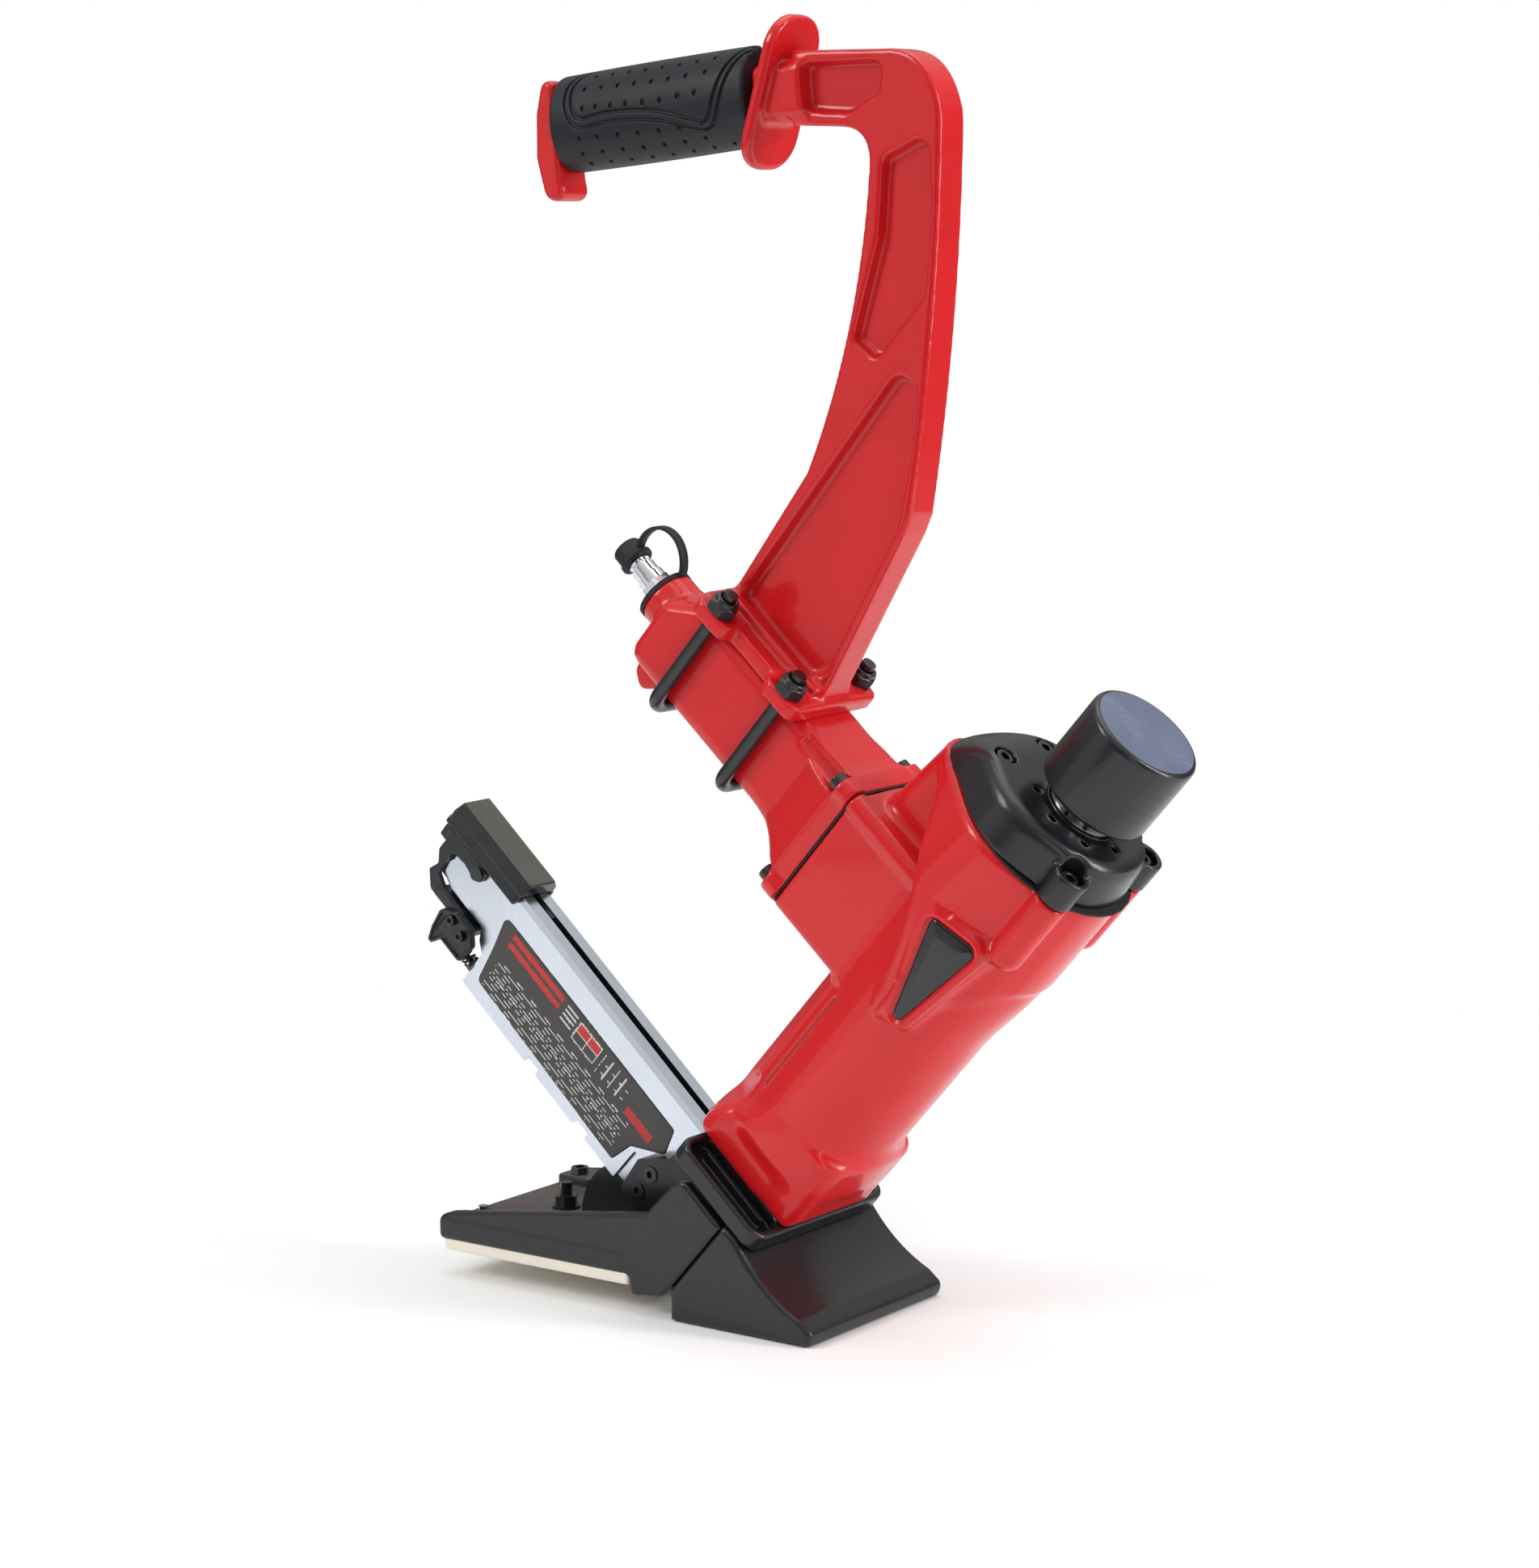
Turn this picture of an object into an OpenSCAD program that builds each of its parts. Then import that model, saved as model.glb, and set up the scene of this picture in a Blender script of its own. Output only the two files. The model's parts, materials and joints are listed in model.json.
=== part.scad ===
// Pneumatic flooring nailer, struck with a mallet. The origin is the centre of the front
// shoe's sole, +Z up, +X the way the striking cap leans, and Y = 0 is the plane of symmetry.
// Most pieces are drawn in the driver frame: S runs up the driver axis from the nail exit,
// Y is as in the world, and T is square to both, towards the magazine and the air arm.

/* [Driver axis] */
// Angle of the driver axis above the floor, degrees
driver_angle = 47.5; // [46.5:0.5:48.5]
// Nail exit, distance behind the centre of the sole
exit_x = -63.8; // [-65:0.1:-63]
// Nail exit, height above the sole
exit_z = 8.1; // [7.5:0.1:9]
// Travel of the piston and driver
piston_stroke = 62; // [50:1:62]
// Width of the driver blade
blade_w = 12.6; // [10:0.1:12.8]
// Thickness of the driver blade
blade_t = 2.4; // [1.6:0.1:2.6]

/* [Ram] */
// Diameter of the striking cap
cap_d = 53; // [50:1:56]
// Height of the striking cap
cap_h = 40; // [34:1:44]
// Diameter of the ram shaft
ram_d = 33; // [30:1:34]

/* [Housing] */
// Outer diameter of the barrel
barrel_d = 75; // [74:1:76]
// Bore of the barrel, which holds the cylinder sleeve
barrel_bore = 60; // [58:1:62]
// Bore of the cylinder sleeve
cylinder_bore = 52; // [48:1:53]
// Half width of the port block and of the arm flange
port_half = 28; // [26:1:29]
// Distance of the arm gasket from the driver axis
port_t = 75.5; // [74:0.5:77]

/* [Air arm] */
// Half width of the arm
arm_half = 22; // [20:0.5:22]
// Wall of the arm
arm_wall = 5; // [4:0.5:6]
// Length of the arm from its flange to its end
arm_len = 139; // [136:1:140]

/* [Handle] */
// Thickness of the handle casting
handle_t = 19; // [17:1:20]
// Depth of the pockets in each side of the handle
pocket_depth = 5; // [3:0.5:6]
// Tilt of the grip, degrees
grip_tilt = 4.5; // [3:0.5:6]
// Height of the rubber grip's section
grip_h = 46; // [42:1:48]
// Width of the rubber grip's section
grip_w = 34; // [30:1:36]
// Diameter of the U-bolt rod
rod_d = 6.8; // [6:0.1:7]

/* [Shoe] */
// Half width of the shoe
shoe_half = 52; // [50:1:54]
// Height of the pad's underside above the sole, for half-inch boards and up
pad_z = 12.7; // [12:0.1:13]
// Thickness of the pad
pad_t = 5.9; // [5:0.1:6]
// Length of the pad
pad_len = 117; // [110:1:120]

/* [Magazine] */
// Outer width of the magazine cover
mag_w = 22; // [21:0.5:22]
// Thickness of the magazine cover
mag_wall = 1.8; // [1.2:0.1:2]

/* [Hidden] */

$fn = 48;
eps = 0.1;
fit = 0.05;

// Stations along the driver axis
flange_s = 68;
body_s = 78;
floor_s = 86;
port_s0 = 184;
port_s1 = 256;
head_s = 300;
head_top_s = 322;
cap_s = 331;
bumper_h = 10;
piston_len = 20;
piston_s = floor_s + bumper_h + piston_stroke;
sleeve_top_s = 206;

// The arm is centred on this station
arm_s0 = 205;
arm_s1 = 255;
arm_s = (arm_s0 + arm_s1) / 2;
gasket_t = 1;
arm_t0 = port_t + gasket_t;
arm_end_t = arm_t0 + arm_len;

// Clamp plate of the handle
plate_s0 = 255.2;
plate_s1 = 263;
plate_t0 = 123;
plate_t1 = 197;
bolt_t = [133, 184];
bolt_y = 26.2;
rod_bottom_s = 201;
rod_bend = 9;

// Screw places
arm_screw_s = [192, 252];
arm_screw_y = 24;
head_screws_high = [16, 37];
head_screws_low = [29.5, -25.5];

// Magazine
mag_s0 = 2;
mag_s1 = 62;
mag_t0 = 34;
pusher_t0 = 187;
pusher_t1 = 244;
latch_pin_s = 52.5;
latch_pin_t = 213;
spring_s = 12;
spring_y = -8.5;
rod_t0 = 186.5;

// Shoe
pad_x1 = -65;
pad_x0 = pad_x1 - pad_len;
pad_top_z = pad_z + pad_t;
plate_top_z = 27;
cheek_t = 6;
wedge_rear_t = -13.2;
cheek_front_t = -12.9;
nose_half = 22;

// Handle outline stations
grip_axis_x = -1.5;
grip_axis_z = 556;
guard_tilt = 18;

red = "#c2272b";
black = "#2b2d30";
chrome = "#d6d9dd";
steel = "#b9bdc3";
rubber = "#2e3338";
cream = "#ece3d2";

// ---------------------------------------------------------------- helpers

// Puts children, drawn in the driver frame, in their place
module on_driver() {
  translate([exit_x, 0, exit_z]) rotate([0, -driver_angle, 0]) children();
}

// World x and z of a point of the driver frame
function world(s, t) = [
  exit_x + s * cos(driver_angle) - t * sin(driver_angle),
  exit_z + s * sin(driver_angle) + t * cos(driver_angle)
];

// Extrudes a side outline, drawn in X and Z or in S and T, from y0 to y1
module side(y0, y1) {
  translate([0, y1, 0]) rotate([90, 0, 0]) linear_extrude(y1 - y0) children();
}

// Extrudes a section, drawn in Y and T, from s0 to s1
module section(s0, s1) {
  translate([s0, 0, 0]) rotate([90, 0, 90]) linear_extrude(s1 - s0) children();
}

// A round bar along S, centred on y and t
module bar_s(s0, s1, r, y = 0, t = 0) {
  translate([s0, y, t]) rotate([0, 90, 0]) cylinder(h = s1 - s0, r = r);
}

// A tube along S on the driver axis
module tube_s(s0, s1, r_out, r_in) {
  difference() {
    bar_s(s0, s1, r_out);
    bar_s(s0 - 1, s1 + 1, r_in);
  }
}

// A round bar along Y, centred on s and t
module bar_y(y0, y1, r, s, t) {
  translate([s, y1, t]) rotate([90, 0, 0]) cylinder(h = y1 - y0, r = r);
}

// A round bar along T, centred on s and y
module bar_t(t0, t1, r, s, y = 0) {
  translate([s, y, t0]) cylinder(h = t1 - t0, r = r);
}

// A box between two corners
module block(low, high) {
  translate(low) cube(high - low);
}

function unit(v) = v / norm(v);

// Points of the arc of radius r that rounds the corner b between a and c
function corner_arc(a, b, c, r, steps) =
  let (
    u = unit(a - b),
    w = unit(c - b),
    half = acos(u * w) / 2,
    centre = b + unit(u + w) * r / sin(half),
    p = b + u * r / tan(half) - centre,
    q = b + w * r / tan(half) - centre,
    start = atan2(p.y, p.x),
    turn = (atan2(q.y, q.x) - start + 900) % 360 - 180
  )
  [for (i = [0:steps]) centre + r * [cos(start + turn * i / steps), sin(start + turn * i / steps)]];

// A polygon of [x, y, corner radius] points with its corners rounded
function rounded(p, steps = 5) = [
  for (i = [0:len(p) - 1])
    let (
      a = p[(i + len(p) - 1) % len(p)],
      b = p[i],
      c = p[(i + 1) % len(p)]
    )
    each (b[2] == 0 ? [[b.x, b.y]]
      : corner_arc([a.x, a.y], [b.x, b.y], [c.x, c.y], b[2], steps))
];

// Points of a curve from a to c that leans towards b
function curve(a, b, c, steps = 10) =
  [for (i = [0:steps]) let (k = i / steps) (1 - k) * (1 - k) * a + 2 * k * (1 - k) * b + k * k * c];

// Outline around a circle of radius r0 at the origin and one of radius r1 at y = d
function egg(r0, r1, d) =
  let (lean = asin((r0 - r1) / d))
  concat(
    [for (i = [0:8]) let (a = lean + (180 - 2 * lean) * i / 8) [r1 * cos(a), d + r1 * sin(a)]],
    [for (i = [0:20]) let (a = 180 - lean + (180 + 2 * lean) * i / 20) r0 * [cos(a), sin(a)]]
  );

// Outline of an oval, w wide and h high
function oval(w, h, steps = 36) =
  [for (i = [0:steps - 1]) [w / 2 * cos(360 * i / steps), h / 2 * sin(360 * i / steps)]];

// A rectangle with rounded corners around the origin
function plate_outline(w, h, r) = rounded([
  [-w / 2, -h / 2, r], [w / 2, -h / 2, r], [w / 2, h / 2, r], [-w / 2, h / 2, r]
]);

// A socket head screw along +Z with its head's underside at z = 0
module socket_screw(d, length) {
  difference() {
    union() {
      translate([0, 0, -length]) cylinder(h = length + eps, d = d);
      cylinder(h = d, d = d * 1.7);
    }
    translate([0, 0, d * 0.5]) cylinder(h = d, d = d * 0.96, $fn = 6);
  }
}

// A hexagon nut along +Z, af across its flats, with its base at z = 0
module nut(af, height, hole_d) {
  difference() {
    cylinder(h = height, d = af / cos(30), $fn = 6);
    translate([0, 0, -1]) cylinder(h = height + 2, d = hole_d);
  }
}

// ---------------------------------------------------------------- housing

// Outline of the badge on the barrel's side, and the depth of the pocket behind it
badge_outline = rounded([[252, 6, 5], [256, -13, 6], [208, -8, 5]]);
badge_back = -barrel_d / 2 + 3;

module head_outline(grow = 0) {
  polygon(egg(41 + grow, 22 + grow, 42));
}

module body_casting() {
  color(red) on_driver() difference() {
    union() {
      bar_s(body_s, head_s - 1, barrel_d / 2);
      section(body_s, port_s0 + 1)
        polygon(rounded([[-28, -5, 0], [28, -5, 0], [28, 27, 4], [15, 38, 6], [-15, 38, 6], [-28, 27, 4]]));
      linear_extrude(port_t)
        translate([(port_s0 + port_s1) / 2, 0])
          polygon(plate_outline(port_s1 - port_s0, 2 * port_half, 7));
      section(port_s1 - 12, head_s - 1) head_outline();
      for (side_y = [-1, 1]) {
        bar_t(24, port_t, 6, arm_screw_s[1], side_y * (arm_screw_y + 1));
        bar_s(264, head_s - 1, 8, side_y * head_screws_low.x, head_screws_low.y);
      }
      bar_s(88, 108, 9, 0, -31);
    }
    bar_s(floor_s, head_s, barrel_bore / 2 + fit);
    bar_s(body_s - 1, floor_s + 1, 11);
    bar_s(sleeve_top_s + 8, head_s, 33);
    block([arm_s0 + arm_wall, -17, 20], [arm_s1 - arm_wall, 17, port_t + 1]);
    for (side_y = [-1, 1], s = arm_screw_s)
      bar_t(port_t - 16, port_t + 1, 2.5 + fit, s, side_y * arm_screw_y);
    for (side_y = [-1, 1], place = [head_screws_high, head_screws_low])
      bar_s(head_s - 20, head_s, 2.5 + fit, side_y * place.x, place.y);
    for (side_y = [-1, 1], t = [-20, 20])
      bar_s(body_s - 1, floor_s - 0.5, 2.5 + fit, side_y * 23, t);
    side(-barrel_d / 2 - 10, badge_back) polygon(badge_outline);
  }
}

module cylinder_sleeve() {
  color(steel) on_driver() tube_s(floor_s, sleeve_top_s, barrel_bore / 2, cylinder_bore / 2);
}

module bumper() {
  color(rubber) on_driver() tube_s(floor_s, floor_s + bumper_h - 0.2, cylinder_bore / 2 - 0.5, 9);
}

module head_gasket() {
  color(black) on_driver() difference() {
    section(head_s - 1, head_s) head_outline();
    bar_s(head_s - 2, head_s + 1, 33);
    for (side_y = [-1, 1], place = [head_screws_high, head_screws_low])
      bar_s(head_s - 2, head_s + 1, 2.5 + fit, side_y * place.x, place.y);
  }
}

module head_cap() {
  color(black) on_driver() difference() {
    union() {
      section(head_s, 312) head_outline();
      section(312, 317) polygon(egg(39.5, 20, 40));
      section(317, 320.5) polygon(egg(37, 17, 34));
      section(320.5, head_top_s) polygon(egg(34, 13, 27));
      for (side_y = [-1, 1])
        bar_s(head_s, 314, 8.5, side_y * head_screws_low.x, head_screws_low.y);
    }
    bar_s(head_s - 1, head_top_s + 1, ram_d / 2 + fit);
    bar_s(head_s - 1, 306, 31);
    for (i = [0:7])
      bar_s(305, head_top_s + 1, 1.8, 21 * cos(45 * i), 21 * sin(45 * i));
    for (side_y = [-1, 1]) {
      bar_s(head_s - 1, 330, 2.5 + fit, side_y * head_screws_high.x, head_screws_high.y);
      bar_s(311, 330, 5, side_y * head_screws_high.x, head_screws_high.y);
      bar_s(head_s - 1, 330, 2.5 + fit, side_y * head_screws_low.x, head_screws_low.y);
      bar_s(307, 330, 6, side_y * head_screws_low.x, head_screws_low.y);
    }
  }
}

module head_screws() {
  color(black) on_driver() for (side_y = [-1, 1]) {
    translate([311, side_y * head_screws_high.x, head_screws_high.y]) rotate([0, 90, 0]) socket_screw(5, 26);
    translate([307, side_y * head_screws_low.x, head_screws_low.y]) rotate([0, 90, 0]) socket_screw(5, 24);
  }
}

module badge() {
  color("#17181a") on_driver() side(-barrel_d / 2 - 3.2, badge_back) polygon(badge_outline);
}

// ---------------------------------------------------------------- ram and valve

module ram_shaft() {
  color(chrome) on_driver() difference() {
    union() {
      bar_s(298, cap_s + 20, ram_d / 2);
      bar_s(298, 305.8, 21);
    }
    tube_s(314, 317.2, ram_d, ram_d / 2 - 2.5);
    bar_s(cap_s + 8, cap_s + 21, 4);
  }
}

module ram_seal() {
  color(rubber) on_driver() tube_s(314.1, 317.1, ram_d / 2, ram_d / 2 - 2.4);
}

module ram_cap() {
  color(black) on_driver() difference() {
    union() {
      bar_s(cap_s, cap_s + cap_h - 2, cap_d / 2);
      translate([cap_s + cap_h - 2, 0, 0]) rotate([0, 90, 0])
        cylinder(h = 2, r1 = cap_d / 2, r2 = cap_d / 2 - 2);
    }
    bar_s(cap_s - 1, cap_s + 20, ram_d / 2);
    bar_s(cap_s - 1, cap_s + 8, 20.5);
  }
}

module head_valve() {
  color(steel) on_driver() {
    bar_s(264, 298, 7);
    difference() {
      bar_s(250, 264, 29.9);
      bar_s(249, 253, 24);
    }
  }
}

module valve_spring() {
  color(steel) on_driver() tube_s(214, 249.5, 31.5, 28.5);
}

module piston() {
  color(steel) on_driver() difference() {
    bar_s(piston_s, piston_s + piston_len, cylinder_bore / 2 - fit);
    tube_s(piston_s + 8, piston_s + 12.2, cylinder_bore, cylinder_bore / 2 - 2.5);
    bar_s(piston_s + 6, piston_s + piston_len + 1, 16);
  }
}

module piston_ring() {
  color(rubber) on_driver()
    tube_s(piston_s + 8.1, piston_s + 12.1, cylinder_bore / 2 - fit, cylinder_bore / 2 - 2.4);
}

module driver_blade() {
  color(chrome) on_driver()
    block([piston_s - 97, -blade_w / 2, -blade_t / 2], [piston_s, blade_w / 2, blade_t / 2]);
}

// ---------------------------------------------------------------- air arm

module arm_gasket() {
  color(black) on_driver() translate([0, 0, port_t]) difference() {
    linear_extrude(gasket_t)
      translate([(port_s0 + port_s1) / 2, 0])
        polygon(plate_outline(port_s1 - port_s0, 2 * port_half, 7));
    block([arm_s0 + arm_wall, -17, -1], [arm_s1 - arm_wall, 17, 2]);
    for (side_y = [-1, 1], s = arm_screw_s)
      translate([s, side_y * arm_screw_y, -1]) cylinder(h = 3, r = 2.5 + fit);
  }
}

module arm_casting() {
  color(red) on_driver() difference() {
    union() {
      translate([0, 0, arm_t0]) linear_extrude(8)
        translate([(port_s0 + port_s1) / 2, 0])
          polygon(plate_outline(port_s1 - port_s0, 2 * port_half, 7));
      for (i = [0:7])
        translate([0, 0, arm_t0 + 8 + 4.5 * i - eps]) linear_extrude(4.5 + eps)
          translate([(arm_s0 + arm_s1) / 2 - 3 * pow(1 - i / 8, 2), 0])
            polygon(plate_outline(arm_s1 - arm_s0 + 12 * pow(1 - i / 8, 2),
              2 * arm_half + 4 * pow(1 - i / 8, 2), 6));
      translate([0, 0, arm_t0 + 40]) linear_extrude(arm_len - 52)
        translate([arm_s, 0]) polygon(plate_outline(arm_s1 - arm_s0, 2 * arm_half, 6));
      side(-arm_half + 1, arm_half - 1)
        polygon([[arm_s0 + 2, arm_end_t - 13], [arm_s1 - 2, arm_end_t - 13],
          [arm_s1 - 10, arm_end_t - 3], [arm_s1 - 16, arm_end_t], [arm_s0 + 6, arm_end_t],
          [arm_s0 + 2, arm_end_t - 4]]);
      bar_t(arm_end_t - 1, arm_end_t + 8, 13.5, arm_s);
      side(-9, 9) polygon(rounded([[arm_s0 + 2, arm_end_t - 24, 0], [arm_s0 + 2, arm_end_t - 3, 0],
        [arm_s0 - 10, arm_end_t - 7, 4], [arm_s0 - 13, arm_end_t - 16, 3], [arm_s0 - 6, arm_end_t - 20, 3]]));
    }
    block([arm_s0 + arm_wall, -17, arm_t0 - 1], [arm_s1 - arm_wall, 17, arm_end_t - 14]);
    bar_t(arm_end_t - 15, arm_end_t + 9, 6.5, arm_s);
    for (side_y = [-1, 1], s = arm_screw_s) {
      bar_t(arm_t0 - 1, arm_t0 + 9, 2.5 + fit, s, side_y * arm_screw_y);
      bar_t(arm_t0 + 8, arm_t0 + 24, 5, s, side_y * arm_screw_y);
    }
  }
}

module arm_screws() {
  color(black) on_driver() for (side_y = [-1, 1], s = arm_screw_s)
    translate([s, side_y * arm_screw_y, arm_t0 + 8]) socket_screw(5, 21);
}

module plug_seal() {
  color(rubber) on_driver() difference() {
    bar_t(arm_end_t + 8, arm_end_t + 10.4, 14, arm_s);
    bar_t(arm_end_t + 7, arm_end_t + 12, 6.5, arm_s);
  }
}

module air_plug() {
  seat = arm_end_t + 10.4;
  color(chrome) on_driver() translate([arm_s, 0, seat]) difference() {
    union() {
      translate([0, 0, -14]) cylinder(h = 14 + eps, r = 6.4);
      cylinder(h = 6, d = 16.5, $fn = 6);
      translate([0, 0, 6 - eps]) cylinder(h = 5, r = 6.6);
      translate([0, 0, 11 - 2 * eps]) cylinder(h = 6, r = 5.9);
      translate([0, 0, 17 - 3 * eps]) cylinder(h = 3, r = 4.1);
      translate([0, 0, 20 - 4 * eps]) cylinder(h = 8, r = 5.4);
    }
    translate([0, 0, -15]) cylinder(h = 45, r = 2.6);
  }
}

module dust_cap() {
  seat = arm_end_t + 10.4;
  color(rubber) on_driver() translate([arm_s, 0, seat]) difference() {
    union() {
      translate([0, 0, 20.6]) cylinder(h = 2.6, r = 8.2);
      translate([0, 0, 23]) cylinder(h = 7.6, r = 7.2);
    }
    translate([0, 0, 19]) cylinder(h = 9, r = 5.45);
  }
}

module cap_strap() {
  centre = [arm_s + 12, arm_end_t + 22.5];
  outer = [for (i = [0:24]) centre + 15.1 * [cos(-66 + 174 * i / 24), sin(-66 + 174 * i / 24)]];
  inner = [for (i = [0:24]) centre + 13.5 * [cos(108 - 165 * i / 24), sin(108 - 165 * i / 24)]];
  color(rubber) on_driver() side(-2, 2)
    polygon(concat(outer, inner, [[arm_s + 14.05, arm_end_t + 10.9], [arm_s + 14.05, arm_end_t + 8.7]]));
}

// ---------------------------------------------------------------- handle

handle_foot_rear = world(plate_s1 - 1, plate_t1 - 4);
handle_foot_front = world(plate_s1 - 1, plate_t0 + 2);

// Side outline of the handle's web, with the driver-frame clamp plate below it
handle_outline = concat(
  [[12, 573.5], [62, 571.8]],
  curve([66, 571.7], [85, 570], [90.6, 546], 6),
  curve([91, 540], [88.2, 455], [71.8, 370.2], 8),
  [[68, 362], handle_foot_front, handle_foot_rear],
  curve([15.8, 388.5], [45.8, 449.8], [52.5, 520], 8),
  curve([52.7, 526], [52, 538.5], [38, 539.5], 4),
  [[12, 541]]
);

// The three recessed panels in the web, as rounded outlines
pocket_top = rounded([[11, 566.5, 6], [11, 548.5, 6], [42, 546.5, 9], [58, 556, 4], [56, 566, 4]]);
pocket_middle = rounded([[84.5, 535, 6], [60, 524.5, 5], [57, 492, 30], [42.5, 447, 4],
  [55, 436.5, 5], [81, 464, 6], [84.5, 495, 40]]);
pocket_low = rounded([[66, 434, 7], [76.5, 428, 6], [72.5, 398, 25], [64.6, 366, 8],
  [24.5, 300, 7], [13, 297.5, 6], [-22.5, 332, 6]]);

// Frame of the grip: x runs along the grip from the guard to the free end
module on_grip() {
  translate([grip_axis_x, 0, grip_axis_z]) rotate([0, -grip_tilt, 0]) mirror([1, 0, 0]) children();
}

module grip_bar() {
  on_grip() rotate([90, 0, 90]) linear_extrude(128) polygon(plate_outline(14, 26, 5));
}

module guard() {
  translate([grip_axis_x, 0, grip_axis_z]) rotate([0, guard_tilt, 0]) rotate([90, 0, 90])
    translate([0, 0, -3]) linear_extrude(6) polygon(plate_outline(36, 70, 15));
}

module end_flange() {
  on_grip() translate([126, 0, 0]) side(-10, 10)
    polygon(rounded([[-2, -24, 4], [-2, 21, 4], [7, 21, 5], [11, 6, 8], [12, -18, 10], [8, -37, 6], [-4, -37, 4]]));
}

module clamp_plate() {
  on_driver() {
    difference() {
      union() {
        translate([0, 0, plate_t0]) linear_extrude(plate_t1 - plate_t0)
          polygon([[plate_s0, -24], [plate_s1, -24], [plate_s1, 24], [plate_s0, 24]]);
        for (t = bolt_t)
          block([plate_s0, -32, t - 11], [plate_s1, 32, t + 11]);
        for (side_y = [-1, 1])
          block([plate_s1 - 1, side_y * 12 - 3, plate_t0 + 4], [plate_s1 + 4, side_y * 12 + 3, plate_t1 - 4]);
      }
      for (side_y = [-1, 1], t = bolt_t)
        bar_s(plate_s0 - 1, plate_s1 + 1, rod_d / 2 + 0.4, side_y * bolt_y, t);
    }
  }
}

module handle_casting() {
  color(red) {
    difference() {
      union() {
        side(-handle_t / 2, handle_t / 2) polygon(handle_outline);
        side(-13, 13) polygon([[0.2, 569], [16, 568], [12, 545], [-7, 545]]);
        grip_bar();
        guard();
        end_flange();
      }
      for (side_y = [-1, 1], outline = [pocket_top, pocket_middle, pocket_low])
        translate([0, side_y * handle_t / 2, 0]) side(-pocket_depth, pocket_depth) polygon(outline);
    }
    clamp_plate();
  }
}

module grip_sleeve() {
  color(rubber) difference() {
    on_grip() rotate([90, 0, 90]) linear_extrude(123) difference() {
      polygon(oval(grip_w, grip_h));
      polygon(plate_outline(14.2, 26.2, 5));
    }
    translate([grip_axis_x, 0, grip_axis_z]) rotate([0, guard_tilt, 0]) block([-3.1, -30, -50], [40, 30, 50]);
  }
}

module u_bolt() {
  r = rod_d / 2;
  for (side_y = [-1, 1]) {
    bar_s(rod_bottom_s + rod_bend, plate_s1 + 11, r, side_y * bolt_y);
    translate([rod_bottom_s + rod_bend, side_y * (bolt_y - rod_bend), 0])
      rotate([0, 0, side_y > 0 ? 90 : 180])
        rotate_extrude(angle = 90) translate([rod_bend, 0]) circle(r = r);
  }
  bar_y(-bolt_y + rod_bend, bolt_y - rod_bend, r, rod_bottom_s, 0);
}

module u_bolts() {
  color(black) on_driver() for (t = bolt_t) translate([0, 0, t]) u_bolt();
}

module u_bolt_nuts() {
  color(black) on_driver() for (t = bolt_t, side_y = [-1, 1])
    translate([plate_s1, side_y * bolt_y, t]) rotate([0, 90, 0]) nut(13, 8, rod_d + 2 * fit);
}

// ---------------------------------------------------------------- nose and shoe

module nose_casting() {
  color(black) difference() {
    on_driver() difference() {
      union() {
        section(flange_s, body_s) polygon(plate_outline(100, 61, 8));
        block([0, -nose_half, -13], [flange_s + eps, nose_half, 12]);
      }
      for (side_y = [-1, 1])
        section(flange_s + 4, body_s + 1) translate([side_y * 39, 0]) polygon(plate_outline(13, 50, 6.4));
      block([-9, -blade_w / 2 - 0.15, -blade_t / 2 - 0.15], [body_s + 1, blade_w / 2 + 0.15, blade_t / 2 + 0.15]);
      block([3, -6.6, 0], [59, 6.6, 13]);
      for (side_y = [-1, 1], t = [-20, 20])
        bar_s(flange_s - 1, body_s + 1, 2.5 + fit, side_y * 23, t);
      for (s = [34, 54])
        translate([s, 0, -14]) cylinder(h = 8, r = 2.5 + fit);
    }
    block([-120, -60, -40], [pad_x1, 60, pad_z + 1]);
    block([-120, -60, -40], [60, 60, 6]);
  }
}

module nose_screws() {
  color(black) on_driver() for (side_y = [-1, 1], t = [-20, 20])
    translate([flange_s, side_y * 23, t]) rotate([0, -90, 0]) socket_screw(5, 17);
}

module front_wedge() {
  rear_low = [-40, 0];
  rear_high = world(67.2, wedge_rear_t);
  sole_end = 39;
  ridge = [-1.9, 43.2];
  toe = [34, 12];
  color(black) difference() {
    side(-shoe_half, shoe_half) polygon(concat(
      [rear_low, [rear_low.x, 14.4], rear_high, [-6, 47.2]],
      curve(ridge, [12, 22], toe, 8),
      rounded([[toe.x, toe.y, 0], [41.5, 6, 4], [sole_end, 0, 2], [sole_end - 4, 0, 0]])
    ));
    on_driver() for (s = [34, 54]) {
      translate([s, 0, -60]) cylinder(h = 60, r = 2.5 + fit);
      translate([s, 0, -80]) cylinder(h = 61, r = 5);
    }
    on_driver() for (side_y = [-1, 1])
      bar_s(flange_s - 6, flange_s + 2, 5, side_y * 23, -20);
  }
}

module wedge_screws() {
  color(black) on_driver() for (s = [34, 54])
    translate([s, 0, -19]) rotate([180, 0, 0]) socket_screw(5, 12);
}

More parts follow.
